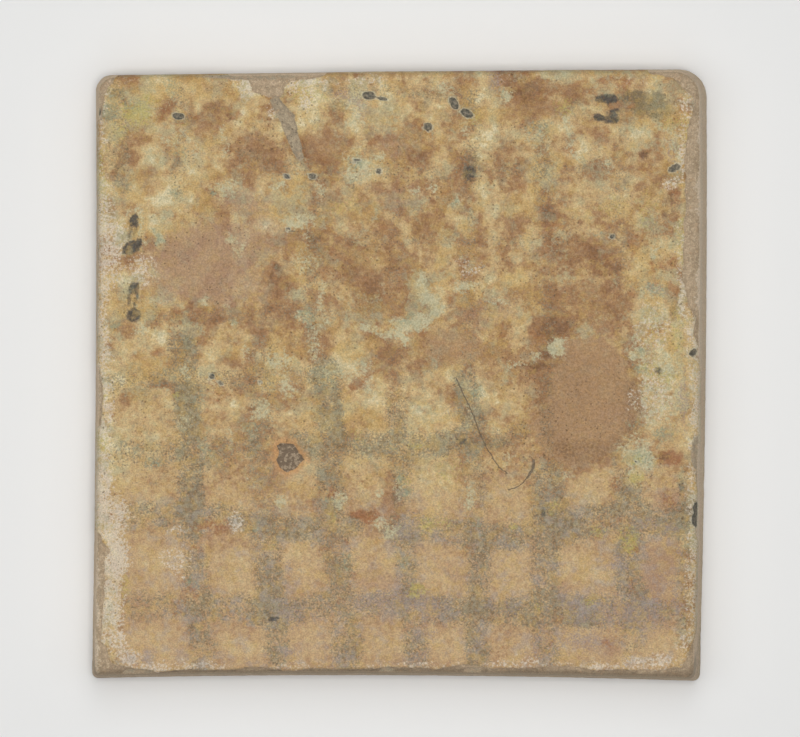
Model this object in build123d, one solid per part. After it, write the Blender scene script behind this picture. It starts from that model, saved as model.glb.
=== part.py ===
from build123d import *
from math import cos, hypot, radians, sin
import os

# A square ceramic tile, made by hand and long weathered: one slab of fired clay, with a thick glaze
# fired onto its face. The glaze rolls over the arris in places and has broken away along the rest,
# so bare clay shows in a ragged margin. Tile and glaze are one fired piece, so this is one solid.
# Millimetres. X runs along the lower edge, Y up the face, and Z out of the face. The origin is the
# middle of the footprint, on the flat back that is bedded.

# The slab. Its back is its widest level, and all four sides lean in towards the face.
WIDTH = 211.0
LENGTH = 210.0
THICKNESS = 22.0
BACK_BEVEL = 0.8
CROWN = 0.6  # how much lower the face is at its corners than in its middle

# How far each corner of the footprint falls short of the full rectangle.
TOP_LEFT_SHORT_X = 1.4
TOP_LEFT_SHORT_Y = 2.1
BOTTOM_RIGHT_SHORT_X = 2.4
BOTTOM_LEFT_SHORT_Y = 1.0

# Corner radii seen from above. The top right corner is worn down.
TOP_LEFT_RADIUS = 5.5
TOP_RIGHT_RADIUS = 9.5
BOTTOM_RIGHT_RADIUS = 2.6
BOTTOM_LEFT_RADIUS = 2.2

# How far the middle of each side bows out. A negative bow is a hollow side.
TOP_BOW = 0.2
RIGHT_BOW = 0.8
BOTTOM_BOW = -1.4
LEFT_BOW = -0.6

# How far each side leans in over its height, up to the arris.
TOP_LEAN = 0.5
RIGHT_LEAN = 2.2
BOTTOM_LEAN = 1.0
LEFT_LEAN = 0.8

# The arris, the rounded edge of the face: its width on each side and its depth.
TOP_ARRIS = 1.8
RIGHT_ARRIS = 4.6
BOTTOM_ARRIS = 2.6
LEFT_ARRIS = 2.4
ARRIS_DEPTH = 3.2
ARRIS_STEPS = 4

# The glaze: its thickness on the face and on the sides, and how far down it runs from the arris.
GLAZE = 0.6
SIDE_GLAZE = 0.35
GLAZE_RUN = 4.0

# Where the glaze rolls over the arris, its outline stays this far outside the footprint.
PAST_EDGE = 4.0

# The outline of the glaze that is left, side by side and clockwise. Each point is a share of the
# side's length, from its clockwise start, and the width of the bare margin there.
TOP_MARGIN = (
    (0.025, 3.2), (0.05, -PAST_EDGE), (0.205, -PAST_EDGE), (0.22, 1.6), (0.25, 2.9), (0.257, 6.9),
    (0.28, 8.6), (0.303, 8.2), (0.31, 4.8), (0.318, 3.3), (0.34, 3.0), (0.375, 1.5), (0.39, -PAST_EDGE),
    (0.885, -PAST_EDGE), (0.905, 1.7), (0.945, 3.4),
)
RIGHT_MARGIN = (
    (0.05, 4.4), (0.08, 5.4), (0.10, 7.0), (0.135, 7.9), (0.165, 7.4), (0.215, 7.6), (0.255, 8.2),
    (0.30, 8.3), (0.345, 8.4), (0.38, 6.6), (0.41, 4.0), (0.435, 4.4), (0.455, 3.0), (0.466, 6.2),
    (0.475, 2.8), (0.505, 1.6), (0.515, -PAST_EDGE), (0.605, -PAST_EDGE), (0.613, 3.4), (0.66, 3.0),
    (0.70, 2.6), (0.735, 3.6), (0.77, 2.2), (0.79, -PAST_EDGE), (0.90, -PAST_EDGE), (0.925, 2.0),
    (0.955, 4.4),
)
BOTTOM_MARGIN = (
    (0.03, 4.8), (0.07, 3.2), (0.12, 3.6), (0.17, 2.8), (0.22, 4.6), (0.27, 3.4), (0.33, 2.9),
    (0.39, 4.0), (0.44, 2.6), (0.50, 3.2), (0.56, 2.2), (0.62, 2.7), (0.68, 2.0), (0.73, 3.4),
    (0.77, 2.2), (0.84, 2.6), (0.89, 2.0), (0.93, 3.0), (0.965, 5.2),
)
LEFT_MARGIN = (
    (0.03, 6.2), (0.052, 5.5), (0.062, 3.2), (0.09, 3.0), (0.12, 3.8), (0.165, 3.9), (0.20, 4.3),
    (0.212, 5.8), (0.226, 3.2), (0.242, 2.0), (0.252, -PAST_EDGE), (0.41, -PAST_EDGE), (0.42, 2.2),
    (0.47, 2.9), (0.515, 1.6), (0.525, -PAST_EDGE), (0.92, -PAST_EDGE), (0.925, 2.2), (0.955, 2.8),
)

# A scrape through the glaze, down from the bare patch in the top margin. Each point is a place
# across from the left edge and down from the top edge, and the scrape's half width there.
SCRAPE = (
    (62.9, 11.0, 1.8), (64.8, 14.1, 2.3), (67.1, 17.2, 2.7), (67.9, 20.2, 2.4), (69.3, 24.4, 2.0),
    (70.3, 27.8, 1.7), (71.5, 30.5, 1.3),
)
SCRAPE_DEPTH = 0.8

# A burst lump of clay near the lower left: an angular crater with a rough floor. Its outline is
# given from its own middle.
CRATER_LEFT = 67.6
CRATER_BOTTOM = 76.9
CRATER_DEPTH = 1.1
CRATER_OUTLINE = (
    (-4.2, 4.1), (-1.7, 5.1), (1.9, 4.6), (3.7, 1.4), (5.3, -0.9), (3.8, -2.4), (2.0, -4.1),
    (-0.3, -5.3), (-3.2, -3.8), (-4.5, -0.9), (-3.2, 1.2),
)

# Round pits left by burst bubbles: across from the left edge, down from the top edge, width, depth.
ROUND_PITS = (
    (115.2, 20.0, 3.0, 1.1),
    (98.4, 35.2, 2.2, 0.7),
    (75.8, 36.9, 2.6, 0.7),
    (178.2, 57.6, 2.4, 0.6),
    (41.2, 105.6, 2.4, 0.7),
)

# Long pits, where bubbles ran together: across, down, length, width, angle up from +X, depth.
LONG_PITS = (
    (29.8, 16.3, 4.6, 2.6, -8, 0.7),
    (96.0, 9.6, 5.4, 3.2, -14, 0.9),
    (100.4, 10.0, 3.6, 1.5, 10, 0.6),
    (124.8, 12.4, 4.6, 2.6, -50, 1.0),
    (129.2, 16.0, 3.8, 2.4, 24, 0.9),
    (199.6, 34.2, 5.4, 2.6, 22, 0.7),
)
PIT_TAPER = 30.0  # how far the walls of a long pit, scrape or crater lean out, in degrees

# Chips out of the arris: the side, how far along it from its clockwise start, the chip's length
# along the side, and how deep it bites into the worn clay.
ARRIS_CHIPS = (
    ("top", 0.25, 46.0, 0.7),
    ("top", 0.285, 9.0, 0.8),
    ("right", 0.464, 5.0, 1.4),
    ("right", 0.628, 13.0, 1.0),
    ("right", 0.719, 4.4, 1.3),
    ("right", 0.738, 4.8, 1.5),
    ("bottom", 0.375, 8.0, 0.7),
    ("bottom", 0.515, 6.0, 0.8),
    ("bottom", 0.92, 14.0, 0.9),
    ("left", 0.14, 7.0, 0.9),
    ("left", 0.935, 4.4, 0.8),
)
ARRIS_MIDDLE = 45.0  # the turn round the arris at which a chip bites, in degrees

LEANS = {"top": TOP_LEAN, "right": RIGHT_LEAN, "bottom": BOTTOM_LEAN, "left": LEFT_LEAN}
ARRISES = {"top": TOP_ARRIS, "right": RIGHT_ARRIS, "bottom": BOTTOM_ARRIS, "left": LEFT_ARRIS}
BOWS = {"top": TOP_BOW, "right": RIGHT_BOW, "bottom": BOTTOM_BOW, "left": LEFT_BOW}
MARGINS = {"top": TOP_MARGIN, "right": RIGHT_MARGIN, "bottom": BOTTOM_MARGIN, "left": LEFT_MARGIN}

# The arris is a quarter of an ellipse on this level. The clay's ellipse and the glaze's share it.
ARRIS_FOOT = THICKNESS - GLAZE - ARRIS_DEPTH


def corners(top=0.0, right=0.0, bottom=0.0, left=0.0):
    """The slab's four corners, clockwise from the top left, with each side moved in by its inset."""
    half_x, half_y = WIDTH / 2, LENGTH / 2
    return (
        Vector(-half_x + TOP_LEFT_SHORT_X + left, half_y - TOP_LEFT_SHORT_Y - top),
        Vector(half_x - right, half_y - top),
        Vector(half_x - BOTTOM_RIGHT_SHORT_X - right, -half_y + bottom),
        Vector(-half_x + left, -half_y + BOTTOM_LEFT_SHORT_Y + bottom),
    )


def outline(level, insets):
    """The slab's outline on a level: four bowed sides and four rounded corners."""
    top_left, top_right, bottom_right, bottom_left = corners(**insets)
    sides = (
        SagittaArc(top_left, top_right, TOP_BOW)
        + SagittaArc(top_right, bottom_right, RIGHT_BOW)
        + SagittaArc(bottom_right, bottom_left, BOTTOM_BOW)
        + SagittaArc(bottom_left, top_left, LEFT_BOW)
    )
    face = make_face(sides)
    for corner, radius in (
        (top_left, TOP_LEFT_RADIUS),
        (top_right, TOP_RIGHT_RADIUS),
        (bottom_right, BOTTOM_RIGHT_RADIUS),
        (bottom_left, BOTTOM_LEFT_RADIUS),
    ):
        face = fillet(face.vertices().sort_by_distance(corner)[0], radius)
    return Pos(0, 0, level) * face


def side_insets(level, skin):
    """Each side's inset on a level below the arris. The skin of glaze stands out from the clay."""
    share = (level - BACK_BEVEL) / (ARRIS_FOOT - BACK_BEVEL)
    return {side: lean * share - skin for side, lean in LEANS.items()}


def arris_insets(turn, skin):
    """Each side's inset at a turn, in degrees, round the ellipse of the arris."""
    return {
        side: LEANS[side] + ARRISES[side] - (ARRISES[side] + skin) * cos(radians(turn))
        for side in LEANS
    }


def under_crown(solid, middle):
    """Cuts a solid's top to a shallow dome that is at its highest, on level middle, at the centre."""
    reach = hypot(WIDTH, LENGTH) / 2
    radius = (reach**2 + CROWN**2) / (2 * CROWN)
    return solid & Pos(0, 0, middle - radius) * Sphere(radius)


def slab(foot, skin, cover):
    """A slab from level foot up: leaning sides, the rounded arris, and a crowned face."""
    sides = loft(
        [outline(z, side_insets(z, skin)) for z in (foot, ARRIS_FOOT)],
        ruled=True,
    )
    turns = [90.0 * step / ARRIS_STEPS for step in range(ARRIS_STEPS + 1)]
    arris = loft(
        [
            outline(ARRIS_FOOT + (ARRIS_DEPTH + cover) * sin(radians(turn)), arris_insets(turn, skin))
            for turn in turns
        ],
        ruled=True,
    )
    return under_crown(sides + arris, ARRIS_FOOT + ARRIS_DEPTH + cover)


def back_edge():
    """The lowest layer of the slab, with the bevel that wiped its sharp lower edge away."""
    bevel = dict.fromkeys(LEANS, BACK_BEVEL)
    return loft([outline(0, bevel), outline(BACK_BEVEL, {})], ruled=True)


def side_point(side, share, inset):
    """The point at a share of a side's length, moved in from the footprint's edge."""
    order = list(MARGINS)
    ends = corners()
    start = ends[order.index(side)]
    end = ends[(order.index(side) + 1) % len(ends)]
    along = (end - start).normalized()
    inward = Vector(along.Y, -along.X)
    bow = 4 * share * (1 - share) * BOWS[side]
    return start + (end - start) * share + inward * (inset - bow)


def face_point(across, down):
    """The point across from the footprint's left edge and down from its top edge."""
    return Vector(across - WIDTH / 2, LENGTH / 2 - down)


def crown_level(point):
    """The level of the glazed face at a point."""
    reach = hypot(WIDTH, LENGTH) / 2
    return THICKNESS - CROWN * (point.X**2 + point.Y**2) / reach**2


def sunk(sketch, depth, level):
    """A cutter for a sketch: its floor is depth below the level, and its walls lean out as they rise."""
    margin = GLAZE
    floor = Pos(0, 0, level - depth) * sketch
    return extrude(floor, depth + margin, taper=-PIT_TAPER)


def glaze_left():
    """The glaze that is left: the skin outside the clay, within the ragged outline."""
    points = [
        side_point(side, share, inset)
        for side, margin in MARGINS.items()
        for share, inset in margin
    ]
    region = make_face(Polyline(points, close=True))
    return slab(ARRIS_FOOT - GLAZE_RUN, SIDE_GLAZE, GLAZE) & extrude(region, 2 * THICKNESS)


def scrape_cutter():
    """The scrape: a chain of round-ended stretches, each between two of its points."""
    stretches = []
    for (x0, y0, r0), (x1, y1, r1) in zip(SCRAPE, SCRAPE[1:]):
        start, end = face_point(x0, y0), face_point(x1, y1)
        rounds = Pos(start) * Circle(r0) + Pos(end) * Circle(r1)
        stretches.append(make_hull(rounds.edges()))
    level = min(crown_level(face_point(x, y)) for x, y, _ in SCRAPE)
    return sunk(Sketch() + stretches, SCRAPE_DEPTH, level)


def crater_cutter():
    """The crater's angular hole."""
    middle = Vector(-WIDTH / 2 + CRATER_LEFT, -LENGTH / 2 + CRATER_BOTTOM)
    hole = make_face(Polyline(*CRATER_OUTLINE, close=True))
    return sunk(Pos(middle) * hole, CRATER_DEPTH, crown_level(middle))


def round_pit_cutter(across, down, width, depth):
    """A ball whose cap is as wide as the pit at the face, and as deep."""
    middle = face_point(across, down)
    radius = ((width / 2) ** 2 + depth**2) / (2 * depth)
    return Pos(middle.X, middle.Y, crown_level(middle) - depth + radius) * Sphere(radius)


def long_pit_cutter(across, down, length, width, angle, depth):
    """A round-ended pit with sloping walls."""
    middle = face_point(across, down)
    slot = Rot(0, 0, angle) * SlotOverall(length, width)
    narrow = offset(slot, -depth / 2)
    return sunk(Pos(middle) * narrow, depth, crown_level(middle))


def chip_cutter(side, share, length, bite):
    """A ball that bites into the middle of the arris over a length of the side."""
    radius = ((length / 2) ** 2 + bite**2) / (2 * bite)
    turn = radians(ARRIS_MIDDLE)
    stand_off = radius - bite
    inset = arris_insets(ARRIS_MIDDLE, 0)[side] - stand_off * cos(turn)
    level = ARRIS_FOOT + (ARRIS_DEPTH + stand_off) * sin(turn)
    point = side_point(side, share, inset)
    return Pos(point.X, point.Y, level) * Sphere(radius)


def tile():
    """The whole tile: clay and glaze in one, less what has broken away."""
    solid = back_edge() + slab(BACK_BEVEL, 0, 0) + glaze_left()
    solid -= scrape_cutter()
    solid -= crater_cutter()
    for pit in ROUND_PITS:
        solid -= round_pit_cutter(*pit)
    for pit in LONG_PITS:
        solid -= long_pit_cutter(*pit)
    for chip in ARRIS_CHIPS:
        solid -= chip_cutter(*chip)
    box = solid.bounding_box()
    return Pos(-box.center().X, -box.center().Y, -box.min.Z) * solid


made = tile()
os.makedirs("parts", exist_ok=True)
export_step(made, "parts/tile.step")
print("solids", len(made.solids()), "volume", round(made.volume), "box", made.bounding_box())
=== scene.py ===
import math

import bpy
import numpy as np
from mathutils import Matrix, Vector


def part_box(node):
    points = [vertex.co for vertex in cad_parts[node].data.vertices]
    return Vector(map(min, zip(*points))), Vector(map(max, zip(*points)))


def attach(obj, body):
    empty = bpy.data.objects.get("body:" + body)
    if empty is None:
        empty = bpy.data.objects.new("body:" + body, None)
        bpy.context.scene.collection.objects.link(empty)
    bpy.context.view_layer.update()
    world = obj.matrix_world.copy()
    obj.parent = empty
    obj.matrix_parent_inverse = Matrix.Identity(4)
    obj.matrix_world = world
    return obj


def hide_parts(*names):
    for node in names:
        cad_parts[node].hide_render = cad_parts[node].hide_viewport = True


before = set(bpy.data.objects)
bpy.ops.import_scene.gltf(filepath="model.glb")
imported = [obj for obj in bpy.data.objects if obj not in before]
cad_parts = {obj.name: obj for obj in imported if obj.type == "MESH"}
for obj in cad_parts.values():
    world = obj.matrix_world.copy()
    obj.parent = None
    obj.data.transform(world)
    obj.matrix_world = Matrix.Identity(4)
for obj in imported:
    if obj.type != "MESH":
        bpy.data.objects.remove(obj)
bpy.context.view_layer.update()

# A square tile of fired clay with a thick, weathered glaze, seen from straight above.
box_low, box_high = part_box("tile")
MM = 0.001
WIDTH = (box_high.x - box_low.x) / MM
LENGTH = (box_high.y - box_low.y) / MM
TOP = (box_high.z - box_low.z) / MM

# The slab's form, with the same sizes as the solid: how far each corner falls short of the box,
# the corner radii, and how far each side bows out, leans in and rounds over at the arris.
# Corners go clockwise from the top left, and sides from the top one, as the face is seen.
CORNER_SHORT = ((1.4, 2.1), (0.0, 0.0), (2.4, 0.0), (0.0, 1.0))
CORNER_RADIUS = (5.5, 9.5, 2.6, 2.2)
BOW = (0.2, 0.8, -1.4, -0.6)
LEAN = (0.5, 2.2, 1.0, 0.8)
ARRIS = (1.8, 4.6, 2.6, 2.4)
ARRIS_DEPTH = 3.2
BACK_BEVEL = 0.8
CROWN = 0.6
GLAZE = 0.6
SIDE_GLAZE = 0.35
GLAZE_RUN = 4.0
PAST_EDGE = 4.0
ARRIS_FOOT = TOP - GLAZE - ARRIS_DEPTH

# What is painted on the tile is placed in millimetres: across from the left edge of the tile's box,
# and down from its upper edge, as the face is seen from above. Each kind of patch is listed by how
# strongly it shows, as soft ellipses: their middle, their half widths, and a turn in degrees if any.
# Lighter, yellower glaze.
LIGHT = {
    0.2: [(54.2, 46.6, 10.3, 2.7)],
    0.3: [(194.8, 14.1, 4.1, 3.4), (189.7, 144.4, 8.9, 5.5), (129.7, 48.4, 4.8, 3.4)],
    0.4: [(42.2, 24.4, 4.8, 3.4), (88.5, 10.6, 8.9, 4.1), (174.2, 44.9, 10.3, 6.2),
        (122.8, 79.2, 4.1, 3.4), (114.2, 44.9, 6.9, 2.7), (7.2, 79.2, 4.8, 6.2), (38.4, 172.5, 4.8, 4.8),
        (6.9, 94.7, 4.1, 6.9)],
    0.5: [(71.3, 137.5, 3.4, 6.9), (143.4, 39.8, 8.2, 4.8), (167.4, 27.8, 10.3, 4.8),
        (188, 20.9, 5.5, 6.9), (148.5, 82.7, 3.4, 6.2), (188, 71.7, 4.8, 5.5), (193.1, 113.5, 6.9, 11.7),
        (109.8, 96.4, 3.4, 5.5), (61.1, 102.6, 6.2, 3.4), (146.8, 89.5, 4.1, 6.9), (7.5, 106.7, 4.8, 8.2),
        (19.2, 143.7, 8.2, 6.2), (17.8, 151.9, 6.2, 4.1), (28.8, 141, 5.5, 4.8), (17.5, 171.8, 8.2, 6.9),
        (202.7, 68.3, 3.4, 8.9), (16.5, 58.7, 3.4, 6.2)],
    0.6: [(38.1, 182.8, 7.5, 4.1), (58.7, 182.8, 6.9, 4.1), (6.9, 131.4, 5.5, 7.5),
        (172.2, 193.1, 7.5, 4.8), (119.4, 171.8, 8.9, 7.5), (74.1, 195.9, 5.5, 5.5),
        (139.3, 123.8, 4.8, 4.1), (44.6, 93, 6.2, 4.8), (89.2, 134.8, 3.4, 5.5), (25, 79.2, 5.5, 4.1),
        (19.9, 50.1, 5.5, 7.5), (86.8, 45.6, 6.9, 2.7), (139.9, 24.4, 8.2, 7.5), (193.1, 51.8, 4.8, 8.9),
        (136.5, 66.2, 6.2, 6.9), (141.7, 75.8, 4.8, 4.1), (191.4, 195.9, 10.3, 5.5),
        (130.7, 193.1, 6.9, 4.8)],
    0.7: [(100.5, 195.9, 9.6, 4.8), (20.6, 116.3, 7.5, 6.9), (23.3, 27.1, 7.5, 5.5, -20),
        (50.8, 58, 4.8, 2.1, -20), (17.8, 131.4, 6.2, 5.5)],
    0.8: [(46.6, 149.5, 8.2, 6.9), (96, 168.4, 8.2, 7.5), (143.4, 171.2, 6.9, 8.2),
        (168.1, 170.1, 8.2, 7.5), (121.1, 196.9, 7.5, 4.8), (168.1, 198.6, 7.5, 4.8),
        (116.6, 117.6, 6.9, 6.2), (143.4, 111.8, 7.5, 4.8), (30.2, 39.8, 13.7, 5.5, -15),
        (64.5, 24.4, 2.1, 4.8), (7.5, 69.6, 6.9, 8.2), (6.9, 127.3, 5.5, 8.9), (7.5, 143, 6.2, 8.9),
        (172.2, 141.7, 7.5, 4.8)],
    0.9: [(23.3, 171.2, 8.9, 7.5), (22.6, 195.9, 8.9, 5.5), (50.8, 197.6, 8.2, 4.8),
        (144.1, 199.3, 6.9, 4.8), (93.6, 144.4, 5.5, 6.2), (142.7, 147.1, 7.5, 7.5),
        (46.6, 119.7, 7.5, 6.2), (22.6, 93, 6.2, 5.5), (67.9, 95.7, 4.8, 5.5), (90.2, 94.7, 6.2, 5.5),
        (73.1, 16.8, 5.5, 6.9, 10), (55.9, 6.5, 10.3, 2.7, 5), (6.9, 57.3, 6.9, 9.6),
        (17.8, 69.6, 6.2, 6.2), (193.1, 110.8, 5.5, 9.6)],
    1: [(48, 172.5, 7.5, 8.2), (73.1, 171.2, 5.8, 8.2), (118, 143.7, 6.9, 8.9), (170.1, 143.7, 6.9, 5.5),
        (92.6, 114.9, 8.2, 5.5), (71.3, 6.5, 6.9, 3.4), (141, 27.8, 6.9, 6.9)],
}
# Brown glaze, where it lay thick.
BROWN = {
    0.2: [(146.8, 53.5, 5.5, 2.7), (55.9, 94.7, 4.1, 6.9)],
    0.25: [(161.2, 129.3, 7.5, 5.5), (175.6, 132.7, 6.9, 4.1, -20), (155.4, 113.5, 4.8, 8.9),
        (60.4, 122.1, 3.4, 10.3)],
    0.3: [(179.7, 79.2, 5.5, 4.8), (151.6, 84.7, 4.8, 4.1), (174.2, 55.2, 5.5, 3.4),
        (194.8, 28.5, 2.1, 3.4), (119.4, 41.5, 5.5, 3.4), (60.4, 140.3, 4.8, 3.4),
        (133.8, 101.9, 6.2, 4.8), (71.3, 58.7, 8.2, 4.8), (115.9, 72.4, 3.4, 2.7), (139.9, 129, 7.5, 2.7),
        (194.8, 36.4, 2.7, 2.1), (205.1, 5.5, 3.4, 2.7), (86.8, 17.5, 3.4, 2.7), (194.8, 86.1, 2.1, 6.9),
        (145.4, 112.2, 3.4, 4.8), (71.3, 127.3, 4.8, 4.8), (83, 77.9, 4.8, 5.5), (116.6, 94.7, 8.9, 6.9),
        (139.9, 55.2, 7.5, 5.5), (139.9, 44.9, 6.9, 4.1), (133.1, 68.9, 6.2, 4.8), (52.5, 46.6, 5.5, 3.4),
        (43.9, 93, 8.2, 2.7)],
    0.35: [(142.7, 79.9, 5.5, 4.8), (178.4, 41.5, 4.1, 5.5), (119.4, 30.5, 7.5, 7.5),
        (78.2, 53.5, 4.1, 10.3), (126.2, 5.5, 6.9, 2.7), (79.2, 90.2, 5.5, 4.8), (130.7, 48.7, 5.5, 5.5),
        (95.4, 74.1, 11.7, 8.9), (86.8, 62.1, 8.2, 6.2), (106.3, 74.4, 4.8, 8.2), (115.9, 54.5, 8.2, 6.9),
        (146.8, 66.2, 7.5, 4.8), (71.3, 41.5, 6.9, 4.1), (153.7, 93, 6.2, 4.8), (181.1, 67.2, 4.8, 6.2),
        (165.7, 44.9, 8.2, 4.1), (119.4, 65.5, 4.8, 4.1)],
    0.4: [(79.6, 89.5, 6.2, 5.5), (78.2, 79.9, 5.5, 4.8), (59, 38.8, 5.5, 4.8), (59, 59.3, 4.8, 4.8),
        (172.2, 49, 6.2, 4.8), (174.2, 68.3, 7.5, 4.1), (157.8, 66.2, 4.1, 4.8), (160.5, 53.5, 5.5, 3.4),
        (197.6, 56.6, 2.7, 4.8), (180.4, 56.9, 4.1, 3.4), (85.1, 82, 6.2, 3.4), (44.6, 7.9, 4.1, 2.7, 20),
        (130.3, 27.8, 2.7, 8.2), (130.3, 82.7, 8.2, 3.4), (104.3, 110.8, 2.1, 4.1), (60.4, 154, 4.5, 5.5),
        (105, 151.9, 2.7, 2.7), (118.7, 86.8, 4.1, 2.7), (114.2, 10.6, 4.8, 4.8), (200, 79.2, 1.7, 6.2),
        (188, 44.9, 4.8, 4.1), (70.7, 95.7, 4.8, 4.1), (145.4, 39.4, 4.8, 4.1), (39.1, 30.5, 4.8, 3.4),
        (112.5, 44.9, 6.2, 4.8), (161.6, 79.9, 6.9, 5.5), (151.3, 79.9, 6.2, 4.8),
        (161.9, 121.8, 5.5, 5.5), (65.2, 84.4, 7.5, 4.8), (80.3, 96.4, 4.8, 6.2), (177.7, 89.5, 7.5, 5.5),
        (88.5, 46.3, 6.9, 4.1)],
    0.42: [(124.5, 94.7, 15.1, 8.9)],
    0.45: [(48.7, 110.8, 6.2, 4.8), (17.5, 38.8, 6.2, 4.8), (182.5, 59.3, 6.2, 5.5),
        (171.5, 34.6, 8.9, 2.7), (93.3, 64.1, 8.9, 9.6), (23.3, 88.2, 6.2, 2.1), (114.6, 57.3, 5.5, 4.8),
        (141.7, 101.9, 6.2, 7.5), (78.9, 93, 5.5, 6.9), (171.8, 38.4, 6.9, 4.8), (79.2, 79.9, 6.2, 5.5),
        (172.2, 18.2, 6.2, 4.8), (89.9, 110.1, 5.5, 5.5), (131, 141, 6.2, 4.8), (99.8, 38.1, 6.2, 4.8),
        (48.7, 27.8, 6.2, 5.5), (69.3, 110.1, 6.2, 4.8)],
    0.5: [(125.5, 18.2, 8.9, 4.8), (142, 15.1, 4.1, 3.1), (156.4, 6.5, 8.2, 3.4), (168.8, 9.6, 8.2, 2.4),
        (182.5, 24.4, 2.7, 4.8), (186.6, 35, 3.4, 2.4), (197.6, 44.9, 2.7, 4.8), (38.8, 84, 11, 3.1),
        (21.6, 34.6, 4.8, 2.1), (31.6, 32.6, 3.1, 2.4, -20), (65.9, 35.3, 4.8, 3.4),
        (102.9, 41.5, 5.5, 4.8), (128.3, 58, 5.5, 4.8), (191.4, 52.5, 8.2, 8.9), (161.6, 71, 7.5, 4.8),
        (153.7, 73.1, 4.8, 4.1), (79.2, 71, 5.5, 4.8), (95.7, 53.9, 6.2, 4.1), (128.3, 39.4, 4.8, 5.5),
        (22, 38.8, 5.5, 3.4), (59, 79.2, 6.2, 5.5), (49.4, 88.8, 7.5, 5.5), (69.3, 90.9, 6.9, 5.5)],
    0.55: [(184.2, 112.8, 3.8, 11, 6), (105, 71, 3.4, 6.2), (82, 34.6, 4.5, 3.1), (101.5, 100.2, 4.5, 5.1),
        (181.8, 12.7, 7.5, 6.9), (99.8, 58.7, 6.9, 5.5)],
    0.6: [(172.2, 79.6, 11.7, 5.5), (161.9, 7.5, 9.6, 4.8), (153.7, 28.5, 2.4, 6.2), (156.4, 46, 4.5, 4.8),
        (103.9, 60.4, 2.7, 12.3), (68.6, 83.3, 3.1, 4.8), (38.4, 20.2, 6.9, 3.8), (11.7, 28.5, 4.8, 6.9),
        (103.9, 26.4, 10.3, 8.9), (62.8, 71.7, 6.9, 6.2), (160.5, 7.9, 8.9, 4.8), (102.2, 99.1, 5.1, 4.1)],
    0.62: [(96, 75.8, 13, 8.2), (60.4, 84.7, 10.3, 4.5)],
    0.7: [(172.2, 110.8, 16.1, 15.1), (164.6, 102.6, 14.4, 6.2), (25.7, 14.7, 2.4, 4.8, 25),
        (103.6, 147.1, 3.1, 8.2), (191.4, 100.5, 2.1, 1.7), (172.9, 79.9, 11, 6.2)],
    0.72: [(161.2, 120.4, 11.7, 11.7), (58.3, 27.8, 11, 8.2, 10)],
    0.75: [(167.4, 129.3, 13, 8.2), (156.4, 89.5, 7.5, 4.8, -10), (78.9, 27.1, 11, 6.9)],
    0.8: [(170.1, 80.6, 17.2, 7.5, 5), (151.6, 39.4, 1.7, 2.1)],
    0.95: [(165.3, 62.8, 8.2, 5.8, 10), (150.9, 11.3, 11, 6.9, -8)],
}
# Umber spots.
UMBER = {
    0.3: [(159.2, 127.9, 6.2, 4.1, 40), (159.2, 98.4, 5.5, 3.4, -40), (185.2, 100.5, 3.4, 4.8, -30)],
    0.32: [(155.7, 114.2, 4.1, 11.7)],
    0.35: [(182.5, 125.9, 5.5, 4.1, -50)],
    0.4: [(185.9, 112.8, 4.1, 11.7), (170.1, 131.4, 11.7, 4.8), (29.5, 33.3, 2.7, 1.4, -30),
        (181.4, 23.7, 1.4, 2.7), (94.7, 151.9, 2.7, 1.4), (89.2, 52.5, 1, 0.7)],
    0.5: [(65.5, 70, 0.8, 2.1, -38), (61.4, 71.7, 0.7, 3.1, 24), (47.7, 16.1, 1.7, 2.4, 20),
        (197.6, 44.9, 2.1, 2.7, 30), (196.2, 50.1, 1.4, 2.1), (105.6, 151.3, 1.7, 1),
        (191.4, 47.3, 0.7, 0.7)],
    0.6: [(205.1, 12.3, 1, 1), (103.9, 146.8, 1.4, 2.1), (195.9, 132.7, 2.4, 1.7)],
    0.8: [(189, 29.5, 1.9, 1.7)],
    0.95: [(63.5, 67.9, 1.2, 1.2)],
}
# Flat tan, where a drop of glaze dried to a skin inside a brown rim.
TAN = {
    0.4: [(58.3, 27.1, 6.9, 4.8, 10), (78.9, 27.1, 6.9, 4.1), (103.9, 26.4, 6.2, 5.5),
        (135.8, 103.9, 4.8, 4.8), (38.4, 20.2, 4.1, 2.1)],
    0.6: [(124.5, 94.7, 11.7, 6.2)],
    0.9: [(170.1, 97.1, 10.3, 5.5)],
    1: [(172.2, 111.5, 15.8, 17.2), (164.6, 121.8, 11.7, 12.3, 20), (170.1, 126.6, 11.7, 7.5)],
}
# Pinkish brown glaze.
PINK = {
    0.2: [(181.1, 44.9, 6.9, 6.9)],
    0.3: [(78.2, 171.8, 2.7, 4.8), (177.7, 117, 6.9, 4.1), (174.2, 89.5, 8.2, 4.8), (26.8, 199.3, 6.9, 2.7)],
    0.4: [(105.6, 44.9, 8.2, 4.1), (100.5, 26.1, 4.8, 6.9), (134.8, 84.4, 10.3, 5.5),
        (139.9, 141, 5.5, 3.4), (103.9, 201, 5.5, 2.7), (170.8, 177, 5.5, 3.4), (5.5, 62.1, 3.4, 10.3)],
    0.5: [(52.5, 44.9, 11.7, 4.8), (129.7, 171.8, 8.2, 5.5), (71.3, 197.6, 5.5, 2.7),
        (189.7, 189, 10.3, 4.8), (78.2, 149.5, 4.1, 4.1)],
    0.6: [(25, 75.8, 7.5, 4.8), (55.9, 56.9, 10.3, 8.9), (42.2, 74.1, 10.3, 5.5), (174.2, 197.6, 8.9, 4.1),
        (97.4, 175.3, 8.2, 4.1), (196.5, 147.8, 5.5, 6.2), (160.5, 178.7, 3.4, 2.7)],
    0.7: [(194.8, 171.8, 6.9, 10.3)],
    0.8: [(48, 75.1, 12.3, 5.5)],
    1: [(38.8, 64.8, 17.8, 11.7)],
}
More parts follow.
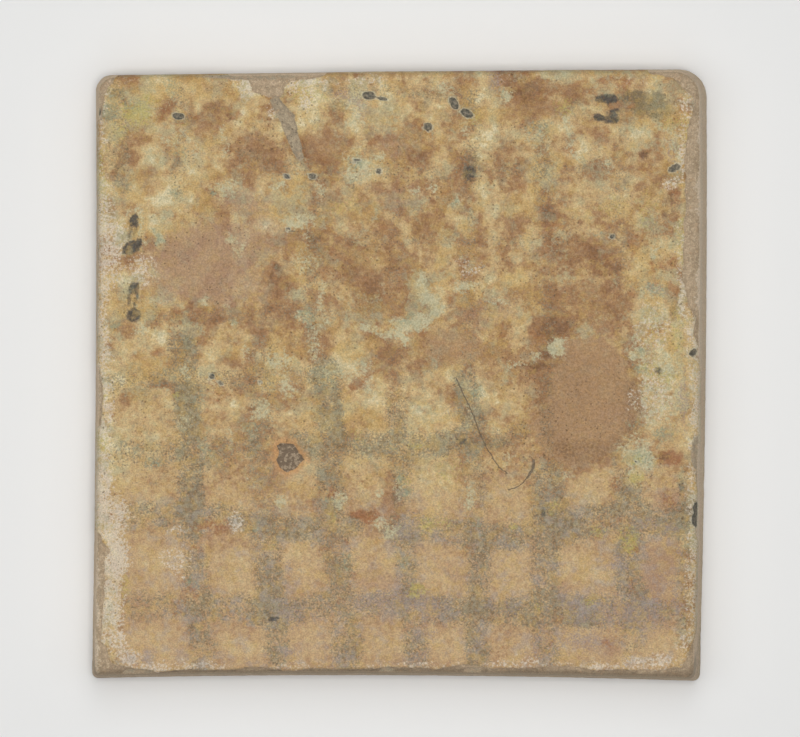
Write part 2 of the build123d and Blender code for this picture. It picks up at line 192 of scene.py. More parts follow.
# Rust red spots.
RED = {
    0.2: [(67.2, 97.1, 3.4, 2.1), (160.5, 137.5, 2.7, 1.7), (188, 115.6, 1.7, 2.4),
        (183.8, 154.7, 2.7, 2.7)],
    0.25: [(129.7, 189, 3.4, 1.4), (173.6, 158.8, 1.7, 2.4)],
    0.3: [(68.6, 89.5, 4.8, 3.4), (43.9, 112.2, 2.7, 1.7), (185.2, 35.3, 1.7, 1.4), (127.3, 141, 1.4, 2.7),
        (123.5, 154.7, 2.7, 1.4), (89.2, 173.6, 2.7, 1.7), (105, 75.8, 1.7, 1.7), (126.9, 32.9, 2.7, 1.7),
        (139.9, 137.5, 3.4, 1.4, 30), (196.5, 114.9, 1.4, 2.1)],
    0.35: [(35, 164.3, 2.7, 2.7), (102.2, 111.8, 2.7, 3.4), (29.5, 184.9, 3.4, 2.7),
        (86.8, 161.6, 4.1, 2.7), (79.9, 165.7, 3.4, 2.7), (139.9, 198.6, 4.1, 2.7)],
    0.4: [(105.6, 153, 1.7, 2.4), (41.8, 109.4, 2.7, 2.7), (3.8, 151.9, 1.7, 2.7), (6.9, 146.1, 3.4, 1.7),
        (67.9, 115.2, 2.1, 3.4), (128.3, 164.3, 2.7, 2.7), (194.8, 67.2, 5.5, 3.4),
        (102.2, 154.7, 2.1, 1.7), (33.6, 180.4, 2.7, 2.7), (188, 127.3, 2.1, 2.1)],
    0.45: [(76.8, 148.9, 2.7, 4.1, 10), (44.6, 158.1, 3.4, 1.7, -30), (25.7, 14.7, 1.7, 3.8, 25),
        (85.1, 182.1, 2.1, 1.7)],
    0.5: [(93.6, 142.3, 2.4, 1.7), (41.2, 156.1, 5.5, 2.4, -5), (64.1, 69.3, 0.9, 2.4, -20),
        (46, 6.9, 4.1, 2.1, 25), (6.2, 134.8, 1.4, 1.4), (178.4, 195.9, 4.1, 2.4, -20),
        (160.5, 189, 1.7, 1.7), (156.4, 195.9, 1.7, 2.1), (197.6, 147.1, 2.7, 2.7),
        (178.4, 141.7, 2.1, 2.4), (186.6, 164.3, 1.7, 1.7), (185.6, 177.3, 1.7, 1.7),
        (203.4, 185.6, 1.7, 2.1)],
    0.55: [(189.3, 29.2, 1.7, 1.7)],
    0.6: [(190.7, 35.3, 1.7, 1.4), (49, 16.5, 2.7, 2.4), (7.9, 117.6, 1.4, 1.4)],
    0.7: [(63.5, 67.9, 1.7, 1.4)],
    0.75: [(181.4, 5.1, 2.4, 3.1, -40), (199.3, 43.9, 2.1, 3.4)],
    0.8: [(205.5, 12.3, 1.4, 1.4)],
    0.85: [(90.9, 108, 2.7, 2.7)],
    0.9: [(82.7, 145.8, 1.7, 1.7)],
    0.95: [(94.3, 152.6, 4.8, 2.1, -10), (197.6, 133.1, 4.5, 2.7, 5), (183.5, 13.4, 1.7, 1.2)],
}
# Pale, weathered glaze.
PALE = {
    0.2: [(133.8, 44.9, 2.1, 1.7)],
    0.3: [(19.9, 14.1, 4.8, 2.7), (155.4, 27.1, 3.4, 2.7), (129.7, 117, 2.1, 4.8), (55.9, 141, 2.1, 2.7),
        (74.1, 58.7, 1.7, 4.1), (141.7, 134.1, 2.7, 2.1), (162.2, 139.3, 3.4, 1.4), (48, 127.3, 2.1, 4.1),
        (38.8, 130.7, 2.7, 2.7)],
    0.35: [(192.8, 77.5, 4.1, 3.4), (31.6, 120.4, 2.7, 2.7)],
    0.4: [(74.8, 53.5, 2.7, 2.1), (49.4, 39.1, 3.4, 2.1), (194.8, 60.7, 2.1, 1.4),
        (105.6, 144.4, 1.7, 4.1), (127.3, 18.9, 1.4, 4.8), (88.5, 12.3, 4.1, 2.1)],
    0.45: [(194.1, 114.2, 6.2, 8.2)],
    0.5: [(89.2, 37.4, 2.7, 2.7), (74.1, 66.9, 4.1, 2.7), (190, 134.8, 3.4, 4.1), (152.6, 99.1, 2.1, 1.7),
        (27.1, 7.9, 1.7, 3.4), (22, 79.2, 3.4, 2.1), (76.1, 94.7, 2.4, 4.1), (50.8, 62.1, 2.7, 1.4, -40),
        (110.4, 41.5, 1.7, 1.4), (115.9, 40.5, 2.1, 1.4), (78.2, 40.8, 1.7, 3.1), (68.6, 36.7, 2.1, 1.7),
        (98.8, 154.7, 3.4, 2.7), (102.9, 158.1, 2.7, 2.1), (90.2, 17.5, 2.7, 3.4), (121.1, 6.5, 4.1, 2.1),
        (188, 93, 4.1, 2.7), (32.2, 103.9, 1.7, 2.1), (52.8, 97.8, 2.7, 2.1), (26.1, 111.5, 1.7, 1.7)],
    0.55: [(144.1, 101.9, 4.1, 1.7, -20), (59, 116.3, 4.1, 3.1), (68.6, 109.8, 3.1, 2.1, -20)],
    0.6: [(151.6, 22.6, 4.1, 2.1, -10), (177.3, 33.6, 1.4, 3.1), (196.5, 100.8, 3.8, 4.8),
        (139.6, 80.3, 3.4, 1.7), (45.3, 42.2, 4.8, 2.7, 10), (45.6, 80.6, 1.7, 1), (65.2, 99.8, 4.1, 3.4),
        (16.5, 88.8, 2.4, 3.1), (92.6, 101.9, 3.4, 2.4), (48, 58.7, 1.7, 1.7), (129.7, 146.1, 2.1, 4.8),
        (85.1, 147.8, 2.7, 2.7), (98.8, 145.1, 1.7, 1.7), (162.2, 17.5, 2.7, 2.4), (15.1, 49, 2.7, 2.7),
        (17.2, 54.5, 1.7, 4.1), (49, 86.8, 2.1, 1.4, -30), (193.1, 86.1, 2.1, 2.7)],
    0.65: [(92.6, 34, 5.5, 4.8)],
    0.7: [(141.7, 9.3, 2.1, 3.4, 15), (127.9, 74.8, 4.1, 1.4, 10), (39.8, 79.6, 1.7, 1.4),
        (124.5, 46, 2.1, 2.1), (185.9, 140.3, 3.4, 3.4)],
    0.75: [(185.9, 131.4, 5.5, 4.8)],
    0.8: [(63.5, 40.5, 2.4, 1), (99.1, 29.8, 1.4, 1.4), (23.3, 56.9, 1.7, 3.1, 10),
        (192.1, 62.8, 1.7, 1.7), (65.5, 148.5, 1.4, 2.7)],
    0.9: [(186.9, 97.4, 3.4, 2.4, 15)],
    0.95: [(70, 52.1, 4.1, 3.1)],
    1: [(160.5, 95, 2.7, 3.1, 20)],
}
# Sharp yellow and green stains.
YELLOW = {
    0.2: [(29.5, 16.8, 4.1, 2.1), (122.8, 137.5, 4.8, 3.4), (89.9, 126.6, 2.7, 2.7),
        (61.1, 163.3, 2.7, 1.4)],
    0.25: [(193.1, 91.2, 4.1, 5.5), (189.7, 50.1, 3.4, 6.2), (177.7, 46.6, 3.4, 3.4)],
    0.3: [(77.5, 9.9, 3.4, 2.7), (86.8, 46.6, 4.8, 2.1)],
    0.35: [(119.4, 155.4, 4.8, 2.7), (110.8, 129, 3.4, 1.7)],
    0.4: [(9.6, 21.6, 2.7, 3.1), (71.3, 7.9, 4.1, 2.7), (201, 89.5, 2.1, 7.5), (131.4, 16.8, 2.7, 1.7),
        (30.2, 111.8, 2.1, 1.4), (83.3, 153, 1.7, 2.4, -30), (107.4, 141, 1.7, 1.4),
        (203.7, 20.9, 1.7, 4.8), (198.9, 18.2, 3.4, 1.7)],
    0.5: [(20.6, 9.9, 2.7, 1.7, 20), (172.9, 157.4, 2.4, 2.4), (114.2, 156.4, 2.7, 2.7),
        (157.8, 149.9, 2.4, 2.4), (162.2, 12.7, 3.4, 2.7), (191.4, 102.6, 3.4, 2.1),
        (196.9, 106, 3.4, 1.7), (4.1, 111.8, 1.7, 2.7), (153, 184.9, 2.1, 1.7), (171.5, 182.8, 1.7, 1.4),
        (12.3, 177, 1.7, 3.4), (4.1, 38.1, 1.7, 8.9), (202.7, 60.4, 1.7, 10.3)],
    0.6: [(144.1, 157.4, 1.7, 1.4)],
    0.7: [(184.5, 161.6, 2.7, 4.1), (112.5, 178.7, 3.4, 2.7, -30)],
    0.8: [(185.9, 133.4, 2.1, 1.7), (3.8, 129, 1.7, 2.4)],
    0.9: [(15.8, 14.7, 5.1, 3.8)],
    1: [(185.9, 141, 2.7, 1.7)],
}
# Bluish green stains.
TEAL = {
    0.2: [(78.9, 7.2, 1.7, 1.7)],
    0.3: [(37, 113.5, 2.1, 3.4), (86.8, 168.4, 2.7, 1.4, -10), (177.7, 33.3, 1, 2.7),
        (13.7, 62.1, 3.4, 2.1), (62.8, 36.7, 1.7, 1.7)],
    0.4: [(30.2, 30.2, 3.4, 2.7), (28.5, 43.2, 2.7, 2.1), (90.2, 38.8, 2.7, 1.7), (186.6, 132.7, 5.5, 3.4),
        (103.9, 129.3, 1.7, 1.7), (79.9, 106.7, 3.4, 4.8), (38.8, 127.3, 1.4, 4.8), (22, 134.8, 4.1, 1.7),
        (132.4, 156.4, 1.7, 3.4), (153.7, 20.9, 4.8, 2.4)],
    0.5: [(13.7, 12, 3.4, 1.7), (27.8, 7.2, 2.4, 2.7), (193.5, 75.8, 3.8, 2.1, -20),
        (107.4, 86.1, 2.7, 1.7, -10), (106.3, 140.3, 1.7, 1.7), (54.2, 122.1, 4.1, 2.1, 10),
        (35.7, 176, 2.7, 2.1), (85.1, 171.8, 2.7, 1.7), (107.4, 169.1, 2.1, 2.1),
        (140.6, 7.9, 1.4, 2.7, 20), (123.5, 46.3, 1.7, 1.7), (56.9, 156.4, 1.7, 2.7), (8.9, 86.8, 1.7, 2.1)],
    0.6: [(74.1, 85.4, 2.7, 4.1), (91.9, 31.9, 2.7, 1.7, -15), (188, 103.2, 2.7, 1.4),
        (196.2, 125.5, 2.4, 2.1), (185.2, 122.1, 1.7, 1.4), (131.4, 110.8, 2.1, 2.4),
        (174.2, 56.9, 1, 0.7), (23.3, 57.3, 1.4, 2.1), (83, 148.5, 2.1, 1.7)],
    0.7: [(41.2, 131.4, 1.7, 2.1), (49.4, 86.8, 1.7, 1)],
    0.8: [(7.5, 14.1, 2.4, 4.1), (41.8, 42.9, 1, 1), (187.3, 96.4, 1.4, 1.7), (108.4, 145.1, 1.7, 2.1)],
}
# Lilac sheen of weathering.
LILAC = {
    0.2: [(194.8, 173.6, 3.4, 4.8), (193.1, 103.2, 4.1, 3.4), (14.7, 202.7, 4.8, 2.7),
        (122.8, 117.6, 2.1, 1.7), (84.4, 165.7, 2.7, 1.7)],
    0.25: [(121.1, 161.6, 3.4, 1.4)],
    0.3: [(160.5, 195.9, 6.9, 3.4), (160.5, 16.8, 1.4, 2.7), (153.7, 201, 3.4, 2.1),
        (39.1, 131.4, 1.4, 1.7)],
    0.35: [(198.9, 27.8, 1.7, 6.2)],
    0.4: [(67.9, 186.2, 6.2, 4.8), (85.1, 203.4, 2.7, 1.7), (109.1, 154.7, 3.4, 2.7),
        (111.8, 200.7, 3.4, 2.1), (201.7, 168.4, 2.1, 4.8), (133.1, 195.9, 2.7, 3.4),
        (142.7, 183.5, 4.8, 2.7), (2.7, 24.4, 1.7, 4.8), (67.2, 171.8, 1.4, 2.1)],
    0.45: [(170.8, 195.9, 6.2, 3.4)],
    0.5: [(18.2, 201, 2.4, 2.1), (107, 158.8, 4.8, 2.7), (88.5, 9.9, 4.8, 2.1, 10), (91.9, 14.7, 2.1, 3.4),
        (189.7, 96.4, 2.1, 1.7), (202.4, 113.5, 1.7, 10.3), (67.9, 201, 1.7, 2.1)],
    0.55: [(174.2, 186.2, 10.3, 4.8), (188, 185.6, 8.9, 6.2)],
    0.6: [(101.5, 182.1, 11.7, 4.1), (115.9, 183.8, 6.9, 4.8), (114.2, 194.1, 3.4, 2.7),
        (180.4, 169.1, 3.4, 4.1), (201.7, 182.1, 2.1, 6.2), (193.1, 76.5, 2.1, 1.7)],
    0.7: [(164.6, 182.1, 4.1, 2.7), (190.7, 156.1, 2.7, 2.1), (138.6, 4.5, 2.1, 3.4)],
    0.8: [(197.6, 156.8, 4.1, 2.1)],
}
# Blackish green glaze.
DARK = {
    0.3: [(202, 193.8, 0.7, 1.4)],
    0.4: [(8.9, 8.6, 1.4, 1.7), (41.5, 42.9, 0.7, 0.7), (202.7, 188.7, 1.4, 1), (205.8, 196.9, 1, 1)],
    0.5: [(183.5, 10.3, 0.9, 0.9), (60, 186.2, 1.4, 0.9, 30), (202, 142.3, 1.2, 1.4), (202, 144.4, 1, 1),
        (44.2, 107.7, 1.4, 1, 40), (89.9, 32.2, 2.4, 0.9, -15), (89.9, 40.5, 0.5, 1.7),
        (185.2, 142.7, 0.7, 0.5)],
    0.6: [(13.4, 55.6, 0.8, 3.1, 12), (13.2, 78.5, 0.8, 3.1), (177, 12.3, 0.4, 1), (177.3, 15.1, 1.2, 1),
        (194.1, 103.6, 1.7, 1.4, 20), (58, 107.4, 1, 0.9), (68.6, 55.6, 1.4, 0.5, -10),
        (186.6, 134.5, 0.7, 0.7)],
    0.65: [(154.7, 151.6, 1.2, 2.1), (76.1, 37.4, 2.1, 1.2)],
    0.7: [(15.3, 55.2, 0.5, 2.7, 20), (15.1, 79.9, 0.5, 2.4, 15), (13.4, 85.1, 1.4, 1.4),
        (176.6, 17.5, 2.1, 1.4), (126.9, 127.6, 2.2, 1.2, 15), (178.4, 57.6, 1.4, 0.9)],
    0.75: [(179.4, 14.4, 1.6, 1), (129.3, 35.7, 2.4, 2.7), (41.5, 105, 1.5, 1, -40)],
    0.8: [(12.7, 62.1, 2.1, 1.7), (16.5, 59.3, 1.2, 1.4), (15.8, 77.2, 0.6, 1.7)],
    0.85: [(66.9, 37, 1.4, 1, 20)],
    0.9: [(173.6, 10.6, 1.2, 1.2), (62.4, 188.3, 2.4, 0.7, -12)],
    0.95: [(14.7, 84.4, 2.6, 2.2), (179, 17.2, 1.6, 1.9)],
    1: [(14.7, 51.8, 1.6, 2.2, 20), (14.1, 61.1, 3.1, 2.1, -14), (14.7, 75.1, 1.6, 2.2, 20),
        (176.3, 10.3, 3.4, 1.6, 3), (179, 10.3, 1.2, 1.5), (173.6, 16.8, 1.6, 1.5)],
}
# Dark olive glaze.
OLIVE = {
    0.2: [(133.1, 43.2, 4.8, 1.7), (157.8, 154.7, 4.8, 4.1)],
    0.25: [(166, 13.4, 4.1, 2.7), (14.4, 55.9, 4.1, 6.9), (14.4, 79.9, 4.1, 7.5)],
    0.3: [(155.4, 26.1, 3.4, 4.1), (43.2, 12.3, 4.1, 2.4), (9.6, 38.8, 3.4, 4.8)],
    0.35: [(170.8, 16.8, 4.1, 2.1), (116.6, 8.9, 5.5, 2.1), (9.6, 27.8, 4.1, 8.2), (141.7, 35.3, 4.8, 1.7)],
    0.4: [(196.2, 103.9, 4.1, 2.1), (161.2, 149.5, 3.4, 3.4), (179, 137.5, 1.7, 3.4),
        (188, 168.4, 3.4, 2.7)],
    0.45: [(129.7, 32.9, 3.1, 6.2), (139.3, 127.3, 4.8, 2.7)],
    0.5: [(8.2, 8.2, 2.7, 2.7), (199.6, 82, 1.7, 4.1)],
    0.6: [(194.8, 14.7, 4.1, 2.4), (85.1, 13, 3.4, 2.4, 20)],
    0.9: [(185.2, 9.6, 4.1, 2.1)],
    1: [(190, 12, 7.5, 4.5, 5)],
}
# Cream, granular, weathered glaze, and painted glints where the left and right edges catch the light.
CREAM_AND_GLINT = {
    0.2: [(185.9, 113.5, 2.1, 3.4)],
    0.25: [(71.3, 205.5, 13.7, 1.7), (112.5, 204.4, 13.7, 1.7)],
    0.3: [(93.6, 5.1, 6.2, 1.7), (129.7, 68.3, 4.1, 2.7), (28.8, 158.1, 4.1, 1.4),
        (208.5, 127.3, 1.7, 4.8), (192.1, 89.5, 5.5, 6.9)],
    0.35: [(37, 204.8, 10.3, 1.7), (146.8, 204.1, 10.3, 1.7), (29.5, 168.4, 4.8, 4.8)],
    0.4: [(4.1, 72.4, 1.7, 10.3), (205.1, 195.9, 2.7, 4.8), (62.4, 14.7, 1.7, 3.4, 20)],
    0.5: [(192.8, 110.8, 4.8, 8.9), (17.5, 69.6, 4.1, 4.8), (6.9, 69.6, 4.1, 5.5),
        (174.2, 205.5, 10.3, 1.7), (78.2, 5.1, 4.1, 1.4), (198.9, 39.4, 3.4, 1.4, -10),
        (50.1, 155.4, 2.1, 3.4)],
    0.55: [(205.1, 13.4, 3.4, 2.7)],
    0.6: [(8.6, 195.9, 3.4, 4.8), (202.7, 27.8, 1.7, 8.9), (206.5, 141, 2.4, 6.9),
        (207.2, 168.4, 2.4, 13.7), (73.4, 9.3, 2.7, 4.8, 20), (19.9, 205.1, 7.5, 1.7, 5),
        (12.3, 201, 3.4, 2.7)],
    0.7: [(6.9, 58.7, 4.8, 8.9), (3.1, 43.2, 2.1, 7.5), (202.4, 68.9, 1.7, 15.1), (207.5, 98.1, 2.1, 3.4),
        (56.3, 5.5, 6.9, 2.1, 10), (54.2, 8.2, 2.1, 2.7), (191.4, 202.7, 8.9, 2.1, -5)],
    0.75: [(2.1, 58.7, 1.7, 13.7)],
    0.8: [(7.2, 151.9, 4.8, 7.5), (8.9, 167, 3.4, 5.5), (206.8, 89.5, 2.1, 8.2)],
    0.85: [(208.2, 114.2, 2.1, 12.3)],
    0.9: [(2.7, 92.3, 3.1, 8.9), (71.3, 5.1, 4.8, 2.1)],
    0.95: [(3.1, 141, 3.1, 15.8), (6.9, 175.3, 4.1, 17.2)],
}
# Narrow veins of pale, weathered glaze: the width, strength and line of each.
VEINS = (
    (3.4, 0.9, ((113.5, 72.4), (112.8, 77.2), (116.6, 78.5), (119, 82), (115.9, 84.7), (111.8, 86.8),
        (108.4, 88.5), (104.3, 86.4))),
    (3.4, 0.8, ((107, 93.6), (104.3, 90.2), (100.5, 90.9), (97.4, 88.8), (91.9, 88.2))),
    (2.7, 0.5, ((78.9, 74.4), (78.2, 79.2), (77.9, 83.3))),
    (2.7, 0.5, ((75.8, 94), (77.2, 99.8))),
    (3.1, 0.45, ((72.4, 84), (75.1, 90.2), (80.3, 87.8))),
    (3.1, 0.55, ((64.8, 97.8), (61.7, 101.9), (65.9, 106), (67.6, 111.5))),
    (3.1, 0.5, ((81.6, 103.9), (86.8, 106), (92.6, 101.9), (95, 109.4))),
    (2.4, 0.4, ((23.3, 23.7), (27.4, 26.4), (30.9, 21.6), (35.7, 26.4), (37, 31.2))),
    (2.4, 0.4, ((45.6, 20.9), (45.3, 26.1), (46.6, 28.5))),
    (2.7, 0.5, ((160.5, 17.5), (164.6, 21.6), (162.6, 27.1), (167.4, 31.2))),
    (2.7, 0.45, ((194.8, 18.2), (198.9, 20.9), (199.6, 27.1), (201.7, 31.2))),
    (3.4, 0.5, ((188, 92.3), (190.7, 97.1), (188.7, 103.9), (192.1, 110.8), (191.4, 120.4))),
)
# The brushed checks, greenish grey on tan: the width, strength and line of each stroke.
GREEN = (
    (9.3, 1, ((31.2, 94.7), (32.9, 113.5), (33.3, 130.7), (34.3, 147.8), (33.6, 158.1))),
    (8.9, 0.7, ((35.7, 168.4), (36.4, 182.1), (37.7, 195.9), (38.1, 202.7))),
    (8.9, 0.45, ((58.3, 96.4), (59.3, 113.5), (58.3, 130.7), (59.7, 147.8))),
    (10.3, 0.9, ((59.7, 158.1), (61.1, 171.8), (61.7, 182.1))),
    (8.2, 0.8, ((63.5, 185.6), (64.5, 195.9), (64.5, 201))),
    (10.3, 1, ((79.6, 103.2), (80.9, 113.5), (82.3, 130.7), (82, 147.8))),
    (10.3, 0.8, ((83, 158.1), (85.1, 171.8), (86.1, 182.1), (87.1, 201))),
    (7.5, 0.6, ((105, 115.2), (105.6, 130.7), (107, 147.8))),
    (7.5, 0.7, ((107.4, 161.6), (108.4, 175.3), (109.8, 189), (111.5, 202.7))),
    (8.2, 0.85, ((128.3, 108.4), (130.3, 117), (131, 124.5))),
    (6.9, 0.5, ((130.7, 127.3), (131, 141), (131.7, 154.7))),
    (8.2, 0.85, ((132.1, 161.6), (132.4, 175.3), (131.7, 195.9), (132.4, 202))),
    (10.3, 1, ((156.1, 140.3), (156.4, 151.3), (155.4, 165), (155.4, 180.1))),
    (8.9, 0.75, ((155.4, 190.7), (156.4, 201))),
    (10.3, 0.85, ((183.8, 142.7), (184.5, 154.7), (183.2, 168.4), (184.5, 180.4))),
    (8.9, 0.6, ((185.9, 182.1), (185.2, 195.9))),
    (4.1, 0.45, ((202, 137.5), (202.4, 154.7), (201.7, 175.3), (202.7, 195.9))),
    (6.9, 0.55, ((6.9, 108), (23.3, 106.7), (38.8, 106.7), (57.6, 106), (71.3, 106), (83.3, 105.3))),
    (9.6, 0.5, ((11, 131.4), (23.3, 132.4), (38.8, 131.4), (58.3, 129.3))),
    (9.6, 0.85, ((71.3, 129.3), (81.6, 128.6), (98.8, 129.3), (115.9, 128.6), (129.7, 127.3))),
    (6.2, 0.5, ((129.7, 127.3), (139.9, 125.9), (146.8, 123.8))),
    (9.6, 0.65, ((15.1, 153.3), (25, 153.3), (37, 153.3))),
    (8.2, 0.7, ((42.2, 151.9), (54.2, 154.7), (67.9, 156.8))),
    (9.6, 0.85, ((67.9, 157.4), (81.6, 157.4), (88.5, 157.4))),
    (9.6, 0.8, ((103.9, 157.4), (115.9, 158.1), (133.1, 159.5), (150.2, 160.2))),
    (11, 1, ((155.4, 158.1), (167.4, 156.1), (178.4, 154.7), (188, 154.7), (200.3, 154.7))),
    (9.6, 0.6, ((15.8, 184.2), (26.8, 183.5), (40.5, 184.2), (56.3, 185.6))),
    (9.6, 0.7, ((58.3, 186.2), (71.3, 185.6), (81.6, 184.2))),
    (8.2, 0.8, ((86.8, 183.5), (98.8, 182.8), (107, 182.8))),
    (9.6, 0.8, ((109.1, 184.2), (122.8, 185.6), (138.2, 186.2), (151.9, 186.2))),
    (10.3, 0.95, ((159.2, 185.6), (170.8, 186.2), (184.5, 186.9), (194.8, 186.2))),
    (4.8, 0.35, ((77.5, 41.5), (77.5, 53.5), (76.1, 66.2), (74.8, 79.2), (75.5, 94.7))),
    (4.8, 0.3, ((103.9, 50.1), (104.3, 60.4), (104.6, 79.2), (104.3, 99.8), (105, 113.5))),
    (6.2, 0.4, ((129.7, 12.3), (131, 20.9), (129.7, 31.2), (129.7, 39.8))),
    (4.8, 0.3, ((129.7, 50.1), (129, 68.9), (129, 89.5), (129, 108.4))),
    (6.2, 0.35, ((153.7, 21.6), (153.7, 31.2), (155.7, 48.4))),
    (4.8, 0.35, ((156.4, 72.4), (156.4, 89.5), (156.4, 106.7), (155.7, 127.3), (155.7, 139.3))),
    (5.5, 0.35, ((10.3, 10.6), (10.3, 27.8), (11, 41.5))),
    (4.8, 0.3, ((30.2, 7.2), (31.6, 17.5), (30.9, 31.2), (30.2, 44.9))),
    (4.8, 0.3, ((50.8, 31.2), (71.3, 35.3), (86.8, 35.3), (112.5, 36), (129.7, 35.3), (150.2, 34.6),
        (174.2, 34))),
    (4.1, 0.25, ((67.9, 57.3), (86.8, 58.7), (105.6, 59.3), (126.2, 58.7), (146.8, 58.7), (167.4, 58))),
    (4.8, 0.3, ((19.9, 86.8), (38.8, 84.7), (57.6, 84), (78.2, 83.3), (97.1, 83.3))),
    (4.1, 0.25, ((115.9, 82), (139.9, 80.6), (160.5, 82))),
    (4.8, 0.35, ((81.6, 7.9), (98.8, 7.9), (115.9, 7.9), (133.1, 9.3))),
    (5.5, 0.3, ((182.8, 20.9), (181.1, 38.1), (180.4, 55.2), (181.1, 72.4))),
    (3.4, 0.25, ((201.7, 17.5), (200.3, 38.1), (200.3, 58.7))),
)


def lattice(across, down, seed):
    """A fixed value from 0 to 1 for each point of a lattice, from a hash of its place."""
    mixed = (across * 374761393 + down * 668265263 + seed * 362437) & 0xFFFFFFFF
    for shift, factor in ((13, 1274126177), (16, 2246822519)):
        mixed = ((mixed ^ (mixed >> shift)) * factor) & 0xFFFFFFFF
    return ((mixed ^ (mixed >> 15)) & 0xFFFFFF) / float(0xFFFFFF)


def noise(x, y, size, seed):
    """Smooth noise from 0 to 1, whose features are about size wide."""
    u, v = x / size, y / size
    ix, iy = np.floor(u).astype(np.int64), np.floor(v).astype(np.int64)
    fx, fy = u - ix, v - iy
    fx, fy = fx * fx * (3 - 2 * fx), fy * fy * (3 - 2 * fy)
    first = lattice(ix, iy, seed) * (1 - fx) + lattice(ix + 1, iy, seed) * fx
    second = lattice(ix, iy + 1, seed) * (1 - fx) + lattice(ix + 1, iy + 1, seed) * fx
    return first * (1 - fy) + second * fy


def clouds(x, y, size, seed, octaves=3):
    """Noise from -1 to 1, with each octave half as large and half as strong as the last."""
    total, weight = 0.0, 0.0
    for octave in range(octaves):
        k = 0.5**octave
        total = total + k * (2 * noise(x, y, size * k, seed + 17 * octave) - 1)
        weight += k
    return total / weight


def ridged(x, y, size, seed):
    """Noise from -1 to 1 with narrow winding veins of high values."""
    return 1 - 2.6 * np.abs(clouds(x, y, size, seed, 4))


def warped(x, y, amount, size, seed):
    """Points moved about by noise, so that what is painted there gets a ragged outline."""
    return x + amount * clouds(x, y, size, seed), y + amount * clouds(x, y, size, seed + 101)


def ease(start, end, value):
    """0 at the start, 1 at the end, and a smooth step between."""
    t = np.clip((value - start) / (end - start), 0, 1)
    return t * t * (3 - 2 * t)


def off_ellipse(dx, dy, rx, ry, turn):
    """How far off the middle of a turned ellipse some offsets are, as a share of its size."""
    c, s = math.cos(math.radians(turn)), math.sin(math.radians(turn))
    return np.hypot((dx * c + dy * s) / rx, (dy * c - dx * s) / ry)


def blobs(x, y, marks, soft):
    """The cover of soft ellipses, listed by their strength."""
    clear = np.ones_like(x)
    for strength, ellipses in marks.items():
        for cx, cy, rx, ry, *turned in ellipses:
            reach = (1 + soft) * max(rx, ry)
            near = (np.abs(x - cx) < reach) & (np.abs(y - cy) < reach)
            d = off_ellipse(x[near] - cx, y[near] - cy, rx, ry, turned[0] if turned else 0)
            clear[near] *= 1 - strength * (1 - ease(1 - soft, 1 + soft, d))
    return 1 - clear


def stretches(x, y, points):
    """For each stretch of a line: the share of it at which it is nearest, and how far away that is."""
    for (x0, y0), (x1, y1) in zip(points, points[1:]):
        dx, dy = x1 - x0, y1 - y0
        t = np.clip(((x - x0) * dx + (y - y0) * dy) / (dx * dx + dy * dy + 1e-9), 0, 1)
        yield t, np.hypot(x - x0 - t * dx, y - y0 - t * dy)


def to_line(x, y, points):
    """The distance to a line through some points."""
    return np.minimum.reduce([away for share, away in stretches(x, y, points)])


def strokes(x, y, rows, soft):
    """The cover of a list of brush strokes: width, strength, and the line that each follows."""
    clear = np.ones_like(x)
    for width, strength, points in rows:
        d = to_line(x, y, points)
        clear *= 1 - strength * (1 - ease(width / 2 * (1 - soft), width / 2 * (1 + soft), d))
    return 1 - clear


